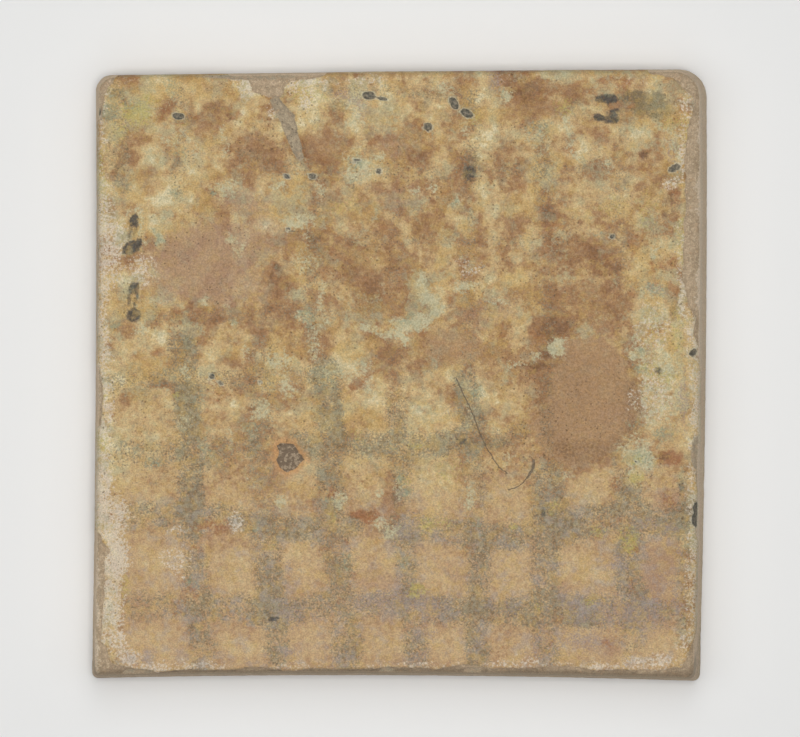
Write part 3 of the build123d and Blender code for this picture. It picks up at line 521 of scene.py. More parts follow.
def glaze_colours(x, y):
    """The tone of the glaze, and how strongly each other colour shows, at each point.

    Each call of clouds, ridged or warped ends with the size of its waves and its seed.
    """
    wx, wy = warped(*warped(x, y, 3.2, 13.0, 3), 1.8, 4.5, 5)
    fx, fy = warped(*warped(x, y, 2.2, 5.0, 7), 0.9, 1.6, 9)
    sx, sy = warped(x, y, 1.6, 9.0, 11)
    from_side = np.minimum(x, WIDTH - x)
    from_bottom = LENGTH - y
    # The glaze is worn in the upper part of the face and along both sides
    worn = ease(150.0, 95.0, y + 14 * clouds(x, y, 40.0, 13))
    worn = np.maximum(worn, ease(14.0, 5.0, from_side))
    light = blobs(wx, wy, LIGHT, 0.45)
    brown = blobs(wx, wy, BROWN, 0.35)
    thin = worn * (1 - 0.8 * brown)
    mottle = 0.45 * ridged(x, y, 16.0, 15) + 0.75 * clouds(wx, wy, 7.5, 19) + 0.6 * clouds(fx, fy, 3.4, 23)
    mottle = mottle * (0.36 + 0.92 * worn * (1 - 0.5 * brown))
    # A pale rim runs along the edges, each with its own start and strength: partly weathered glaze, partly
    # painted glint where the edges catch the light
    rim_and_glint = 0.0
    for away, weight in ((x - 1.5, 1.0), (WIDTH - 2.5 - x, 0.85), (from_bottom - 1.0, 0.6), (y - 2.5, 0.25)):
        rim_and_glint = np.maximum(rim_and_glint, weight * ease(7.0, 0.5, away + 4.5 * clouds(x, y, 11.0, 33)))
    shown = {
        "tone": 0.05 + 0.46 * light - 0.70 * brown - 0.07 * worn + mottle + 0.25 * rim_and_glint,
        "brown": brown,
        "tan": blobs(wx, wy, TAN, 0.14),
        "pink": blobs(wx, wy, PINK, 0.45),
        "umber": blobs(*warped(x, y, 0.5, 1.8, 51), UMBER, 0.5),
        "dark": blobs(*warped(x, y, 0.3, 1.8, 55), DARK, 0.3),
        "cream_and_glint": np.maximum(blobs(fx, fy, CREAM_AND_GLINT, 0.5), 0.75 * rim_and_glint * ease(0.15, 0.55, rim_and_glint)),
        "green": strokes(sx, sy, GREEN, 0.38) * (0.72 + 0.55 * clouds(x, y, 5.0, 27)),
        "ochre": (0.25 + 0.75 * worn) * (1 - 0.6 * brown) * ease(-0.1, 0.6, clouds(fx, fy, 8.0, 35)),
        "sage": thin * ease(0.1, 0.55, clouds(fx, fy, 6.5, 45)),
        "rust": worn * ease(0.3, 0.65, clouds(fx, fy, 4.5, 49)),
        "blush": ease(90.0, 200.0, y + 16 * clouds(x, y, 20.0, 63)) * (1 - worn),
        "chalk_and_glint": ease(4.2, 0.8, from_side + 2.4 * clouds(x, y, 8.0, 37)),
        "bottom_dark": ease(8.0, 0.0, from_bottom + 2.0 * clouds(x, y, 9.0, 39)),
    }
    broken = 1 + 0.5 * clouds(x, y, 2.4, 29)
    for name, marks in (("red", RED), ("yellow", YELLOW), ("teal", TEAL), ("lilac", LILAC)):
        shown[name] = blobs(fx, fy, marks, 0.6) * broken
    shown["olive"] = blobs(fx, fy, OLIVE, 0.5) * broken
    shown["pale"] = np.maximum(blobs(fx, fy, PALE, 0.6), strokes(fx, fy, VEINS, 0.6)) * broken
    return shown


# The outline of the glaze that is left, side by side and clockwise from the top left: a share of
# the side's length, and the width of the bare margin there.
MARGINS = (
    (
        (0.025, 3.2), (0.05, -PAST_EDGE), (0.205, -PAST_EDGE), (0.22, 1.6), (0.25, 2.9), (0.257, 6.9),
        (0.28, 8.6), (0.303, 8.2), (0.31, 4.8), (0.318, 3.3), (0.34, 3.0), (0.375, 1.5),
        (0.39, -PAST_EDGE), (0.885, -PAST_EDGE), (0.905, 1.7), (0.945, 3.4),
    ),
    (
        (0.05, 4.4), (0.08, 5.4), (0.10, 7.0), (0.135, 7.9), (0.165, 7.4), (0.215, 7.6), (0.255, 8.2),
        (0.30, 8.3), (0.345, 8.4), (0.38, 6.6), (0.41, 4.0), (0.435, 4.4), (0.455, 3.0), (0.466, 6.2),
        (0.475, 2.8), (0.505, 1.6), (0.515, -PAST_EDGE), (0.605, -PAST_EDGE), (0.613, 3.4), (0.66, 3.0),
        (0.70, 2.6), (0.735, 3.6), (0.77, 2.2), (0.79, -PAST_EDGE), (0.90, -PAST_EDGE), (0.925, 2.0),
        (0.955, 4.4),
    ),
    (
        (0.03, 4.8), (0.07, 3.2), (0.12, 3.6), (0.17, 2.8), (0.22, 4.6), (0.27, 3.4), (0.33, 2.9),
        (0.39, 4.0), (0.44, 2.6), (0.50, 3.2), (0.56, 2.2), (0.62, 2.7), (0.68, 2.0), (0.73, 3.4),
        (0.77, 2.2), (0.84, 2.6), (0.89, 2.0), (0.93, 3.0), (0.965, 5.2),
    ),
    (
        (0.03, 6.2), (0.052, 5.5), (0.062, 3.2), (0.09, 3.0), (0.12, 3.8), (0.165, 3.9), (0.20, 4.3),
        (0.212, 5.8), (0.226, 3.2), (0.242, 2.0), (0.252, -PAST_EDGE), (0.41, -PAST_EDGE), (0.42, 2.2),
        (0.47, 2.9), (0.515, 1.6), (0.525, -PAST_EDGE), (0.92, -PAST_EDGE), (0.925, 2.2), (0.955, 2.8),
    ),
)
# Where the glaze was scraped off down to the clay: points of the scrape and its half width there.
SCRAPE = (
    (62.9, 11.0, 1.8), (64.8, 14.1, 2.3), (67.1, 17.2, 2.7), (67.9, 20.2, 2.4), (69.3, 24.4, 2.0),
    (70.3, 27.8, 1.7), (71.5, 30.5, 1.3),
)
SCRAPE_DEPTH = 0.8
# The crater left by a burst lump of clay: its middle, and its outline round that.
CRATER = (67.6, 133.0)
CRATER_DEPTH = 1.1
CRATER_ROUGH = 0.35
CRATER_OUTLINE = (
    (-4.2, -4.1), (-1.7, -5.1), (1.9, -4.6), (3.7, -1.4), (5.3, 0.9), (3.8, 2.4), (2.0, 4.1),
    (-0.3, 5.3), (-3.2, 3.8), (-4.5, 0.9), (-3.2, -1.2),
)
# Pits left by burst bubbles: middle, half length, half width, turn in degrees, depth.
PITS = (
    (115.2, 20.0, 1.7, 1.5, 0, 1.0), (98.4, 35.2, 1.2, 1.0, 30, 0.6), (75.8, 36.9, 1.6, 1.1, 0, 0.6),
    (66.9, 37.0, 1.3, 0.9, 20, 0.5), (178.2, 57.6, 1.3, 0.8, 0, 0.5), (41.2, 105.6, 1.4, 0.9, -40, 0.6),
    (44.4, 107.8, 1.3, 0.8, 40, 0.4), (67.3, 55.1, 1.2, 0.6, -20, 0.5), (29.8, 16.3, 2.3, 1.3, 8, 0.7),
    (95.0, 9.4, 2.4, 1.6, 10, 0.9), (99.6, 10.4, 2.0, 0.9, 10, 0.7), (124.2, 12.0, 1.6, 2.4, -30, 0.9),
    (128.6, 15.4, 2.4, 1.4, 30, 0.9), (199.6, 34.2, 2.7, 1.3, -22, 0.7), (57.5, 107.5, 0.9, 0.7, 0, 0.4),
    (90.8, 31.6, 2.2, 0.7, -15, 0.4), (186.2, 134.4, 0.8, 0.7, 0, 0.4), (206.2, 97.3, 1.6, 1.3, -30, 0.9),
    (207.4, 150.6, 1.7, 2.4, 0, 1.1), (206.9, 154.6, 1.6, 2.4, 0, 1.1), (2.0, 15.1, 0.9, 2.0, 0, 0.7),
)
# Chips out of the arris: side, share of its length, the chip's length, and its bite at CHIP_ANGLE.
CHIPS = (
    (0, 0.25, 46.0, 0.7), (0, 0.285, 9.0, 0.8), (1, 0.628, 13.0, 1.0), (2, 0.375, 8.0, 0.7),
    (2, 0.515, 6.0, 0.8), (2, 0.92, 14.0, 0.9), (3, 0.14, 7.0, 0.9),
)
CHIP_ANGLE = math.radians(45)
CHIP_DEEPEST = 1.6
# Two cracks in the glaze, the second wider at its upper end: widths and lines.
CRACKS = (
    (0.24, ((124.8, 106.0), (127.4, 111.5), (130.3, 117.7), (135.1, 129.7), (139.3, 136.2), (142.3, 138.6))),
    (0.6, ((151.4, 133.4), (151.2, 136.6), (149.8, 139.4))),
    (0.24, ((149.8, 139.4), (148.0, 141.6), (145.4, 143.4), (142.6, 144.2))),
)
# Waves in the glaze: how wide, how deep, and the seed of each.
WAVES = ((26.0, 0.14, 61), (9.0, 0.07, 67), (2.6, 0.04, 71))
CREAM_RELIEF = 0.14
CLAY_RELIEF = 0.10


def corners(inset):
    """The slab's corners, across and down, clockwise from the top left, with its sides moved in."""
    top, right, bottom, left = inset
    (ax, ay), (bx, by), (cx, cy), (dx, dy) = CORNER_SHORT
    return np.array((
        (ax + left, ay + top),
        (WIDTH - bx - right, by + top),
        (WIDTH - cx - right, LENGTH - cy - bottom),
        (dx + left, LENGTH - dy - bottom),
    ))


def bowed(side, share):
    """How far a side bows out at a share of its length."""
    return 4 * share * (1 - share) * BOW[side]


def side_point(side, share, inset):
    """The point at a share of a side's length, moved in from the edge of the footprint."""
    ends = corners((0, 0, 0, 0))
    start, end = ends[side], ends[(side + 1) % 4]
    along = (end - start) / np.hypot(*(end - start))
    inward = np.array((-along[1], along[0]))
    return start + (end - start) * share + inward * (inset - bowed(side, share))


def inside(x, y, outline):
    """Whether each point is within an outline."""
    found = np.zeros(x.shape, bool)
    for (x0, y0), (x1, y1) in zip(outline, np.roll(outline, -1, 0)):
        if y0 != y1:
            crosses = (y0 > y) != (y1 > y)
            found ^= crosses & (x < (x1 - x0) * (y - y0) / (y1 - y0) + x0)
    return found


def within(x, y, outline, far=6.0):
    """The distance inside an outline, or the distance outside it as a negative number."""
    outline = np.asarray(outline, float)
    closed = np.vstack((outline, outline[:1]))
    return np.minimum(to_line(x, y, closed), far) * np.where(inside(x, y, outline), 1, -1)


def glaze_depth_in(x, y):
    """The distance inside the ragged outline of the glaze that is left."""
    outline = [
        side_point(side, share, inset) for side, margin in enumerate(MARGINS) for share, inset in margin
    ]
    broken = 0.55 * clouds(x, y, 4.5, 31) + 0.35 * clouds(x, y, 1.6, 37, 2)
    return within(x, y, outline) + broken


def scraped(x, y):
    """The distance inside the scrape, whose half width changes evenly along each stretch."""
    line = [point[:2] for point in SCRAPE]
    halves = [point[2] for point in SCRAPE]
    depths = [
        start + (end - start) * share - away
        for (share, away), start, end in zip(stretches(x, y, line), halves, halves[1:])
    ]
    return np.maximum.reduce(depths) + 0.35 * clouds(x, y, 2.5, 41, 2)


def crater(x, y):
    """The distance inside the crater."""
    outline = np.array(CRATER_OUTLINE) + np.array(CRATER)
    return within(x, y, outline) + 0.3 * clouds(x, y, 1.8, 43, 2)


def pit_depth(x, y):
    """How deep the pits are at each point."""
    deepest = np.zeros_like(x)
    wx, wy = warped(x, y, 0.4, 1.6, 47)
    for cx, cy, rx, ry, turned, depth in PITS:
        d = off_ellipse(wx - cx, wy - cy, rx, ry, turned)
        deepest = np.maximum(deepest, depth * (1 - ease(0.45, 1.15, d)))
    return deepest


def arris_inset(turn):
    """How far in the clay's surface is at each side, where the arris has turned by some radians."""
    return [lean + arris * (1 - math.cos(turn)) for lean, arris in zip(LEAN, ARRIS)]


def chip_depth(x, y, z):
    """How deep the chips out of the arris are: each is where a large ball cuts into its side."""
    deepest = np.zeros(len(x))
    for side, share, length, bite in CHIPS:
        radius = ((length / 2) ** 2 + bite**2) / (2 * bite)
        stand_off = radius - bite
        inset = arris_inset(CHIP_ANGLE)[side] - stand_off * math.cos(CHIP_ANGLE)
        cx, cy = side_point(side, share, inset)
        cz = ARRIS_FOOT + (ARRIS_DEPTH + stand_off) * math.sin(CHIP_ANGLE)
        deepest = np.maximum(deepest, radius - np.sqrt((x - cx) ** 2 + (y - cy) ** 2 + (z - cz) ** 2))
    return np.maximum(deepest + 0.12 * clouds(x, y, 2.0, 83, 2), 0)


def crack_lines(x, y):
    """The signed distance to the nearest crack's line, and the width of the cracks beside them."""
    signed, beside = np.full_like(x, 3.0), np.zeros_like(x)
    for width, line in CRACKS:
        for (x0, y0), (x1, y1) in zip(line, line[1:]):
            dx, dy = x1 - x0, y1 - y0
            length = math.hypot(dx, dy)
            t = ((x - x0) * dx + (y - y0) * dy) / length**2
            side = ((x - x0) * dy - (y - y0) * dx) / length
            on = (t > -0.08) & (t < 1.08) & (np.abs(side) < np.abs(signed))
            signed = np.where(on, side, signed)
        beside = np.maximum(beside, width * (1 - ease(0.8, 1.8, to_line(x, y, line))))
    return signed, beside


# The face is a grid of cells, and the arris and the sides are rings that go on from its border:
# the arris by its turn in degrees, and the sides by their height.
EDGE_BAND = 16.0
EDGE_CELLS = 32
INNER_CELLS = 212
CORNER_POINTS = 14
SIDE_POINTS = 60
ARRIS_TURNS = (86, 78, 69, 60, 50, 40, 29, 16, 0)
SIDE_LEVELS = (17.0, 15.8, 14.6, 13.4, 12.2, 11.0, 8.0, 4.5, BACK_BEVEL)


def ring_outline(inset):
    """The slab's outline with its sides moved in, as angles round its middle and radii there."""
    ends = corners(inset)
    points = []
    for i in range(4):
        before, at, after = ends[i - 1], ends[i], ends[(i + 1) % 4]
        back, on = before - at, after - at
        back, on = back / np.hypot(*back), on / np.hypot(*on)
        half = math.acos(np.clip(back @ on, -1, 1)) / 2
        radius = CORNER_RADIUS[i]
        centre = at + (back + on) / np.hypot(*(back + on)) * radius / math.sin(half)
        start = at + back * radius / math.tan(half) - centre
        for k in range(CORNER_POINTS + 1):
            a = (math.pi - 2 * half) * k / CORNER_POINTS
            c, s = math.cos(a), math.sin(a)
            points.append(centre + (start[0] * c - start[1] * s, start[0] * s + start[1] * c))
        outward = np.array((on[1], -on[0]))
        reach = radius / math.tan(half)
        straight = np.hypot(*(after - at)) - 2 * reach
        for k in range(1, SIDE_POINTS):
            share = k / SIDE_POINTS
            points.append(at + on * (reach + straight * share) + outward * bowed(i, share))
    points = np.array(points) - np.array((WIDTH / 2, LENGTH / 2))
    angle = np.arctan2(points[:, 1], points[:, 0])
    order = np.argsort(angle)
    return angle[order], np.hypot(points[:, 0], points[:, 1])[order]


def radius_at(angle, inset):
    """How far the slab's outline is from its middle at each angle."""
    angles, radii = ring_outline(inset)
    return np.interp(angle, angles, radii, period=2 * math.pi)


def spaced():
    """The grid's lines from -1 to 1: close together near the edges, where the wear is."""
    edge = np.linspace(0, EDGE_BAND, EDGE_CELLS + 1)
    inner = np.linspace(EDGE_BAND, WIDTH / 2, INNER_CELLS // 2 + 1)[1:]
    half = 1 - np.concatenate((edge, inner)) / (WIDTH / 2)
    return np.concatenate((-half, half[::-1][1:]))


def slab_points():
    """The clay's surface: points across, down and up, the faces between them, and the back's loop."""
    lines = spaced()
    n = len(lines)
    s, t = np.meshgrid(lines, lines)
    s, t = s.ravel(), t.ravel()
    half_x, half_y = WIDTH / 2, LENGTH / 2
    angle = np.arctan2(t * half_y, s * half_x)
    m = np.maximum(np.abs(s), np.abs(t))
    # The grid is square in the middle, and goes over to the slab's own outline at its border
    to_box = m * np.minimum(
        half_x / np.maximum(np.abs(np.cos(angle)), 1e-9), half_y / np.maximum(np.abs(np.sin(angle)), 1e-9)
    )
    face_inset = arris_inset(math.pi / 2)
    to_edge = m * radius_at(angle, face_inset)
    shrink = radius_at(np.array((0.0,)), face_inset)[0] / half_x
    blend = ease(0.6, 1.0, m)
    r = to_box * shrink * (1 - blend) + to_edge * blend
    x, y = r * np.cos(angle), r * np.sin(angle)
    z = TOP - GLAZE - CROWN * (x * x + y * y) / (half_x**2 + half_y**2)
    # The border of the grid, clockwise as it is seen from above
    grid = np.arange(n * n).reshape(n, n)
    border = np.concatenate((grid[0, :-1], grid[:-1, -1], grid[-1, :0:-1], grid[:0:-1, 0]))
    rows, xs, ys, zs = [border], [x], [y], [z]
    round_angle = angle[border]
    drop = TOP - GLAZE - z[border]
    rings = []
    for degrees in ARRIS_TURNS:
        turn = math.radians(degrees)
        rings.append((arris_inset(turn), ARRIS_FOOT + (ARRIS_DEPTH - drop) * math.sin(turn)))
    for level in SIDE_LEVELS:
        share = (level - BACK_BEVEL) / (ARRIS_FOOT - BACK_BEVEL)
        rings.append(([lean * share for lean in LEAN], np.full(len(border), level)))
    rings.append(([BACK_BEVEL] * 4, np.zeros(len(border))))
    count = n * n
    for inset, level in rings:
        r = radius_at(round_angle, inset)
        xs.append(r * np.cos(round_angle))
        ys.append(r * np.sin(round_angle))
        zs.append(level)
        rows.append(np.arange(count, count + len(border)))
        count += len(border)
    points = np.column_stack((np.concatenate(xs) + half_x, np.concatenate(ys) + half_y, np.concatenate(zs)))
    faces = np.column_stack((
        grid[:-1, :-1].ravel(), grid[1:, :-1].ravel(), grid[1:, 1:].ravel(), grid[:-1, 1:].ravel()
    ))
    belts = [
        np.column_stack((above, np.roll(above, -1), np.roll(below, -1), below))
        for above, below in zip(rows, rows[1:])
    ]
    return points, np.vstack([faces] + belts), rows[-1]


def show(name, data):
    """Puts an object with some data into the scene."""
    made = bpy.data.objects.new(name, data)
    bpy.context.scene.collection.objects.link(made)
    return made


def place(points):
    """From across, down and up on the tile to the row's own frame, in metres."""
    return np.column_stack((
        box_low.x + points[:, 0] * MM, box_high.y - points[:, 1] * MM, box_low.z + points[:, 2] * MM
    ))


points, faces, back_loop = slab_points()
mesh = bpy.data.meshes.new("glazed_tile")
mesh.from_pydata(place(points).tolist(), [], faces.tolist() + [back_loop.tolist()])
mesh.update()
normals = np.zeros(len(points) * 3)
mesh.vertex_normals.foreach_get("vector", normals)
normals = normals.reshape(-1, 3)

# What is painted shifts with the depth down the sides, so that it doesn't run in upright streaks
SIDE_SHIFT = (0.31, 0.73)
x, y, z = points.T
upright = ease(0.35, 0.75, normals[:, 2])
round_the_edge = np.arctan2(y - LENGTH / 2, x - WIDTH / 2) * WIDTH / 2
painted_x = x + (1 - upright) * SIDE_SHIFT[0] * (TOP - z)
painted_y = y + (1 - upright) * SIDE_SHIFT[1] * (TOP - z)
colours = glaze_colours(painted_x, painted_y)
at_arris = ease(ARRIS_FOOT - 8.0, ARRIS_FOOT - 1.0, z + 2.5 * clouds(round_the_edge, z, 9.0, 41))
colours["bottom_dark"] *= 0.35 + 0.65 * at_arris
colours["chalk_and_glint"] *= 0.3 + 0.7 * at_arris

# How far inside the glaze, the scrape and the crater each point is, and the depth of pits and chips
run = ARRIS_FOOT - GLAZE_RUN + 3.4 * clouds(round_the_edge, z * 0.3, 11.0, 53)
in_glaze = np.minimum(glaze_depth_in(x, y), z - run)
in_scrape = scraped(x, y)
in_crater = crater(x, y)
pits = pit_depth(x, y) * (normals[:, 2] > 0.1) * ease(ARRIS_FOOT - 2.5, ARRIS_FOOT - 0.5, z)
chipped = chip_depth(x, y, z)
cover = ease(-0.25, 0.3, in_glaze)
off_back = ease(0.0, 3.0, z)

relief = cover * (SIDE_GLAZE + (GLAZE - SIDE_GLAZE) * upright)
relief -= SCRAPE_DEPTH * ease(-0.5, 0.5, in_scrape)
relief -= ease(-0.5, 0.7, in_crater) * (CRATER_DEPTH * 0.8 + CRATER_ROUGH * clouds(x, y, 1.4, 59, 2))
relief -= pits
relief -= sum(noise(painted_x, painted_y, size, seed) * depth for size, depth, seed in WAVES) * off_back
relief -= colours["cream_and_glint"] * CREAM_RELIEF * noise(painted_x, painted_y, 1.1, 73)
relief -= (1 - cover) * CLAY_RELIEF * noise(painted_x, painted_y, 5.0, 79) * off_back
relief -= np.minimum(chipped, CHIP_DEEPEST)

# The normals point up the face in Y, and points are held down it
outward = normals * (1, -1, 1)
points = np.clip(points + outward * relief[:, None], 0, (WIDTH, LENGTH, TOP))
mesh.vertices.foreach_set("co", place(points).ravel())
mesh.shade_smooth()
mesh.update()

crack_side, crack_near = crack_lines(x, y)
kept = colours | {
    "glaze_in": np.clip(in_glaze / 2 + 0.5, 0, 1),
    "scrape_in": np.clip(in_scrape / 2 + 0.5, 0, 1) * upright,
    "crater_in": np.clip(in_crater / 6 + 0.5, 0, 1) * upright,
    "pit": np.clip(pits / 0.6, 0, 1),
    "chip": np.clip(chipped / 0.3, 0, 1),
    "crack_side": crack_side,
    "crack_near": crack_near,
    "upright": upright,
}
for name, values in kept.items():
    attribute = mesh.attributes.new(name, "FLOAT", "POINT")
    attribute.data.foreach_set("value", values.astype(np.float32))

tile = show("glazed_tile", mesh)

# The colours of the glaze by its tone, from thick and brown to thin and pale. All colours are in
# sRGB bytes.
TONES = (
    (-1.3, (126, 90, 57)), (-0.75, (146, 107, 70)), (-0.3, (160, 122, 82)), (-0.08, (169, 134, 91)),
    (0.12, (184, 152, 105)), (0.45, (195, 166, 118)), (0.8, (204, 181, 131)), (1.2, (214, 200, 160)),
)
TONE_GRAIN = 2.2
TONE_DROP = 1.14
# Each layer of colour over it: its name, its colour, its cover, how much its edge is broken up by
# grain, the size of that grain in millimetres, and how soft the edge is.
LAYERS = (
    ("blush", (184, 152, 122), 0.36, 1.2, 2.4, 0.45),
    ("ochre", (192, 158, 90), 0.45, 1.0, 2.4, 0.4),
    ("rust", (160, 112, 68), 0.5, 1.0, 1.8, 0.4),
    ("sage", (176, 172, 136), 0.5, 1.6, 1.3, 0.35),
    ("tan", (168, 134, 96), 0.78, 0.6, 1.4, 0.3),
    ("pink", (165, 133, 107), 0.7, 0.8, 1.4, 0.45),
    ("green", (92, 89, 72), 0.68, 2.0, 0.7, 0.26),
    ("olive", (106, 98, 72), 0.75, 1.2, 0.9, 0.4),
    ("red", (148, 95, 57), 0.8, 1.2, 1.2, 0.45),
    ("umber", (104, 74, 46), 0.8, 0.6, 0.9, 0.4),
    ("lilac", (148, 132, 128), 0.6, 2.0, 0.7, 0.35),
    # Cream glaze, with painted glints along the edges
    ("cream_and_glint", (214, 202, 182), 0.74, 2.4, 0.9, 0.35),
    ("pale", (192, 186, 150), 0.85, 1.6, 0.9, 0.4),
    ("yellow", (182, 168, 90), 0.65, 1.8, 0.9, 0.4),
    ("teal", (138, 146, 120), 0.7, 1.8, 0.9, 0.35),
    ("dark", (64, 62, 57), 0.92, 0.7, 0.9, 0.4),
)
GREEN_LIGHT = (128, 128, 108)
GREEN_BROWN = (116, 100, 70)
GREY_ABOVE = (156, 156, 126)
GREY_BELOW = (160, 152, 148)
OCHRE_BLOOM = (190, 158, 92)
CLAY = (182, 160, 132)
CLAY_DARK = (162, 142, 115)
CLAY_LIGHT = (194, 175, 147)
# Painted light for the clay's steep sides
CLAY_SIDE_PAINTED_LIGHT = (224, 200, 168)
# Pale clay and painted glint along the left and right edges
CHALK_AND_GLINT = (220, 203, 178)
# Darker clay along the bottom edge
BOTTOM_DARK = (104, 88, 70)
SCRAPE_CLAY = (170, 154, 128)
SCRAPE_DARK = (146, 132, 110)
CRATER_CLAY = (118, 101, 82)
CRATER_LIGHT = (158, 140, 116)
CRATER_HALO = (198, 148, 98)
PIT_CLAY = (118, 110, 94)
PIT_DARK = (70, 70, 64)
PIT_RIM = (198, 192, 166)
CHIP_CLAY = (170, 156, 132)
CRACK = (96, 84, 68)
PINHOLE = (90, 74, 52)
# Pinholes: how far apart, their radius as a share of that, and the share of them that is open.
PINHOLES = ((3.6, 0.085, 0.35), (1.6, 0.13, 0.2))
GRAIN_DEPTH = 0.00016

material = bpy.data.materials.new("weathered_glaze")
material.use_nodes = True
tree = material.node_tree
shader = tree.nodes["Principled BSDF"]


def linear(colour):
    """A colour for a shader's socket, from sRGB bytes."""
    shares = [c / 255 for c in colour]
    return [c / 12.92 if c <= 0.04045 else ((c + 0.055) / 1.055) ** 2.4 for c in shares] + [1.0]


def feed(socket, value):
    """Gives an input a value, a colour in sRGB bytes, or another socket's output."""
    if isinstance(value, bpy.types.NodeSocket):
        tree.links.new(value, socket)
    else:
        socket.default_value = linear(value) if socket.type == "RGBA" else value


def add(kind, settings=(), **inputs):
    """Adds a node with some settings, and feeds its inputs, by name, or by number after an underscore."""
    made = tree.nodes.new(kind)
    for name, value in dict(settings).items():
        setattr(made, name, value)
    for name, value in inputs.items():
        feed(made.inputs[int(name[1:]) if name[0] == "_" else name.replace("_", " ")], value)
    return made


def sums(operation, a, b=0.0, c=0.0):
    """One of the Math node's operations, on up to three values."""
    return add("ShaderNodeMath", {"operation": operation}, _0=a, _1=b, _2=c).outputs[0]


def scaled(value, factor, base):
    """A value times a factor, on top of a base."""
    return sums("MULTIPLY_ADD", value, factor, base)


def times(first, *others):
    """Several values multiplied."""
    for other in others:
        first = sums("MULTIPLY", first, other)
    return first


def larger(a, b):
    """The larger of two values."""
    return sums("MAXIMUM", a, b)


def mix(factor, under, over):
    """One colour laid over another."""
    return add("ShaderNodeMix", {"data_type": "RGBA"}, _0=factor, _6=under, _7=over).outputs[2]


def held(name):
    """A value that the mesh holds at each of its points."""
    return add("ShaderNodeAttribute", {"attribute_name": name}).outputs["Fac"]


def grains(size, seed, detail=2.0, roughness=0.5):
    """Noise in the surface, from 0 to 1, with features about size millimetres wide."""
    shift = (0.37 * seed, 0.53 * seed, 0.71 * seed)
    moved = add("ShaderNodeVectorMath", {"operation": "ADD"}, _0=where, _1=shift).outputs[0]
    return add(
        "ShaderNodeTexNoise", Vector=moved, Scale=1 / (size * MM), Detail=detail, Roughness=roughness
    ).outputs["Fac"]


def step(value, start, end, first=0.0, last=1.0):
    """A smooth step of a value from first to last, between a start and an end."""
    return add(
        "ShaderNodeMapRange", {"interpolation_type": "SMOOTHSTEP"},
        Value=value, From_Min=start, From_Max=end, To_Min=first, To_Max=last,
    ).outputs["Result"]


def ragged(name, grain, amount, start, end, most=1.0):
    """Where a value that the mesh holds, plus some grain times an amount, goes from a start to an end."""
    return step(scaled(grain, amount, held(name)), start, end, 0.0, most)


where = add("ShaderNodeTexCoord").outputs["Object"]
fine = grains(0.55, 1, 3.0, 0.65)
coarse = grains(2.2, 2, 3.0, 0.6)

lowest, highest = TONES[0][0], TONES[-1][0]
tone = scaled(grains(2.0, 3, 5.0, 0.64), TONE_GRAIN, held("tone"))
tone = scaled(tone, 1 / (highest - lowest), -(lowest + TONE_DROP) / (highest - lowest))
ramp = add("ShaderNodeValToRGB", Fac=tone)
stops = ramp.color_ramp.elements
for position, paint in TONES[1:-1]:
    stops.new((position - lowest) / (highest - lowest))
for stop, (position, paint) in zip(stops, TONES):
    stop.color = linear(paint)
colour = ramp.outputs["Color"]
for number, (name, paint, most, grain, grain_size, soft) in enumerate(LAYERS):
    middle = 0.5 + 0.9 * grain
    edge_grain = grains(grain_size, 11 + number, 4.0, 0.65)
    shown = ragged(name, edge_grain, 1.8 * grain, middle - soft, middle + soft, most)
    if name == "green":
        paint = mix(step(grains(0.9, 91), 0.4, 0.6), paint, GREEN_BROWN)
        paint = mix(step(grains(1.8, 90), 0.4, 0.6), GREEN_LIGHT, paint)
    colour = mix(times(shown, step(held(name), 0.0, 0.06)), colour, paint)

# Changes of hue, to grey and to ochre, that leave the brown patches and flat tan skins nearly alone
alone = larger(held("tan"), larger(times(held("brown"), 0.8), times(held("pink"), 0.7)))
open_to_hue = step(alone, 0.3, 0.9, 1.0, 0.25)
grey = mix(step(held("blush"), 0.2, 0.8), GREY_ABOVE, GREY_BELOW)
for seed, size, paint, most in ((92, 5.0, grey, 0.36), (93, 4.2, OCHRE_BLOOM, 0.40)):
    shown = step(grains(size, seed, 5.0, 0.68), 0.50, 0.63, 0.0, most)
    colour = mix(times(shown, open_to_hue), colour, paint)

# Bare clay round the edges and down the sides, where the glaze has worn off
clay = mix(step(coarse, 0.38, 0.62), CLAY, CLAY_DARK)
clay = mix(step(grains(0.8, 30), 0.56, 0.68), clay, CLAY_LIGHT)
# Painted light: the clay is painted lighter on the steep sides, where the overhead lamps leave it dim
clay = mix(step(held("upright"), 0.1, 0.9, 0.75, 0.0), clay, CLAY_SIDE_PAINTED_LIGHT)
# Pale chalky clay, with painted glint where the arris of the left and right sides catches the light
clay = mix(ragged("chalk_and_glint", grains(1.1, 35), 1.6, 1.0, 1.5, 0.7), clay, CHALK_AND_GLINT)
# The clay is darker along the bottom edge, most at the arris and less down the side
clay = mix(ragged("bottom_dark", grains(1.6, 36), 0.8, 0.45, 1.1, 0.5), clay, BOTTOM_DARK)
glazed = ragged("glaze_in", grains(0.7, 31), 0.3, 0.60, 0.72)
colour = mix(glazed, clay, colour)

# The scrape, the crater with the rusty halo round it, the pits with their rims, and the chips
scraped_off = ragged("scrape_in", grains(0.9, 32), 0.4, 0.62, 0.80)
colour = mix(scraped_off, colour, mix(step(coarse, 0.4, 0.6), SCRAPE_CLAY, SCRAPE_DARK))
burst = ragged("crater_in", grains(0.9, 33), 0.1, 0.535, 0.58)
halo = ragged("crater_in", grains(1.6, 37, 4.0, 0.6), 0.9, 0.45, 0.95, 0.7)
colour = mix(halo, colour, CRATER_HALO)
colour = mix(burst, colour, mix(step(grains(1.1, 34), 0.5, 0.62), CRATER_CLAY, CRATER_LIGHT))
colour = mix(step(held("pit"), 0.02, 0.2, 0.0, 0.5), colour, PIT_RIM)
pitted = mix(step(grains(1.0, 38), 0.42, 0.58), PIT_CLAY, PIT_DARK)
colour = mix(step(held("pit"), 0.25, 0.6, 0.0, 0.9), colour, pitted)
colour = mix(step(held("chip"), 0.2, 0.9), colour, mix(step(coarse, 0.4, 0.6), CHIP_CLAY, CLAY))

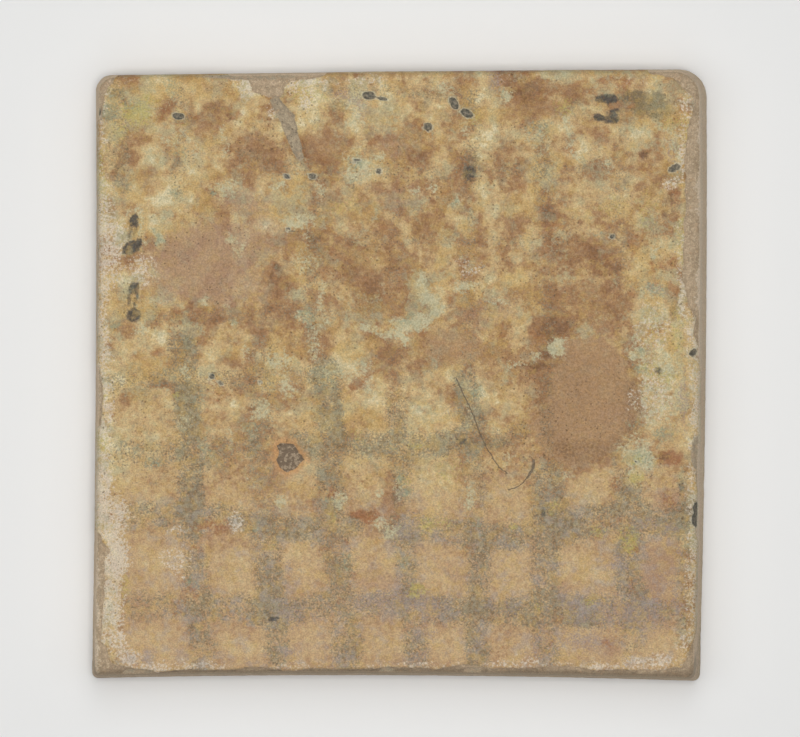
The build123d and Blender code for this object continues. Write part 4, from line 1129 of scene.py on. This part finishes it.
# Hairline cracks and pinholes through the glaze, with few pinholes in the lower half
off_line = sums("ABSOLUTE", sums("SUBTRACT", scaled(grains(1.6, 40), 1.1, held("crack_side")), 0.55))
crack = step(sums("DIVIDE", off_line, sums("ADD", held("crack_near"), 0.01)), 0.4, 1.2, 1.0, 0.0)
crack = times(crack, step(held("crack_near"), 0.02, 0.15))
colour = mix(times(crack, 0.8), colour, CRACK)
pinhole = 0.0
for spacing, radius, share in PINHOLES:
    cells = add(
        "ShaderNodeTexVoronoi", {"voronoi_dimensions": "2D"},
        Vector=where, Scale=1 / (spacing * MM), Randomness=1.0,
    ).outputs
    hole = step(cells["Distance"], radius * 0.6, radius * 1.4, 1.0, 0.0)
    chance = add("ShaderNodeSeparateColor", Color=cells["Color"]).outputs[0]
    pinhole = larger(times(hole, step(chance, 1 - share, 1 - share + 0.02)), pinhole)
pinhole = times(pinhole, step(grains(14.0, 70, 1.0), 0.35, 0.6))
pinhole = times(pinhole, glazed, step(held("blush"), 0.2, 0.9, 1.0, 0.25))
colour = mix(times(pinhole, 0.6), colour, PINHOLE)

# Fine light and dark specks all over
specks = add("ShaderNodeHueSaturation", Color=colour, Value=step(fine, 0.3, 0.7, 0.79, 1.20))
feed(shader.inputs["Base Color"], specks.outputs["Color"])

# A satin glaze, duller where it is bare, with fine grain, pinholes and cracks in its surface
gloss = step(grains(1.0, 50, 3.0), 0.35, 0.65, 0.58, 0.82)
bare = larger(sums("SUBTRACT", 1.0, glazed), larger(scraped_off, burst))
feed(shader.inputs["Roughness"], larger(gloss, times(bare, 0.85)))
feed(shader.inputs["IOR"], 1.45)
height = scaled(grains(0.45, 60, 3.0, 0.6), 0.5, grains(1.3, 61, 3.0, 0.6))
height = scaled(pinhole, -0.8, height)
height = scaled(crack, -0.9, height)
height = scaled(times(bare, grains(0.6, 62)), 0.8, height)
bump = add("ShaderNodeBump", Height=height, Strength=0.55, Distance=GRAIN_DEPTH)
feed(shader.inputs["Normal"], bump.outputs["Normal"])
mesh.materials.append(material)
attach(tile, "root")
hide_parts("tile")

# A camera far above the tile, square to its face
scene = bpy.context.scene
CAMERA_PLACE = (0.00017, 0.00223, 8.0)
CAMERA_SENSOR = 36.0
PICTURE_WIDTH = 0.2744
camera = show("camera", bpy.data.cameras.new("camera"))
camera.data.sensor_width = CAMERA_SENSOR
camera.data.lens = CAMERA_SENSOR * (CAMERA_PLACE[2] - BACK_BEVEL * MM) / PICTURE_WIDTH
camera.data.clip_end = 20
camera.location = CAMERA_PLACE
scene.camera = camera

# A pale, matt floor just under the tile
FLOOR_HALF = 4
FLOOR_GAP = 0.00002
FLOOR_COLOUR = (0.86, 0.86, 0.85, 1)
floor_points = [(x * FLOOR_HALF, y * FLOOR_HALF, 0) for x, y in ((-1, -1), (1, -1), (1, 1), (-1, 1))]
floor_mesh = bpy.data.meshes.new("floor")
floor_mesh.from_pydata(floor_points, [], [(0, 1, 2, 3)])
floor = show("floor", floor_mesh)
floor.location.z = box_low.z - FLOOR_GAP
floor_paint = bpy.data.materials.new("floor")
floor_paint.use_nodes = True
matt = floor_paint.node_tree.nodes["Principled BSDF"]
matt.inputs["Base Color"].default_value = FLOOR_COLOUR
matt.inputs["Roughness"].default_value = 1.0
matt.inputs["Specular IOR Level"].default_value = 0.0
floor_mesh.materials.append(floor_paint)

# Soft light: a softbox overhead, one leaning over each side of the tile, and a faint sky
SKY = 0.06
world = bpy.data.worlds.new("sky")
world.use_nodes = True
world.node_tree.nodes["Background"].inputs["Color"].default_value = (1, 1, 1, 1)
world.node_tree.nodes["Background"].inputs["Strength"].default_value = SKY
scene.world = world
LAMP_FAR = 1.6
LAMP_SIZE = 0.9
OVERHEAD_SIZE = 0.35
LAMP_TILT = math.radians(26)
# Each softbox: its name, the way it leans from overhead, and its share of the light on the face
SOFTBOXES = (
    ("overhead", 0, 0, 0.36), ("top", 0, 1, 0.21), ("bottom", 0, -1, 0.10), ("left", -1, 0, 0.16),
    ("right", 1, 0, 0.09),
)
for name, across, up, share in SOFTBOXES:
    tilt = LAMP_TILT * math.hypot(across, up)
    lamp = bpy.data.lights.new("softbox_" + name, "AREA")
    lamp.shape = "SQUARE"
    lamp.size = LAMP_SIZE if tilt else OVERHEAD_SIZE
    lamp.energy = share * (math.pi * LAMP_FAR) ** 2 / math.cos(tilt)
    softbox = show("softbox_" + name, lamp)
    reach = LAMP_FAR * math.sin(tilt)
    softbox.location = (across * reach, up * reach, LAMP_FAR * math.cos(tilt))
    softbox.rotation_euler = (-up * tilt, across * tilt, 0)

scene.view_settings.view_transform = "Standard"
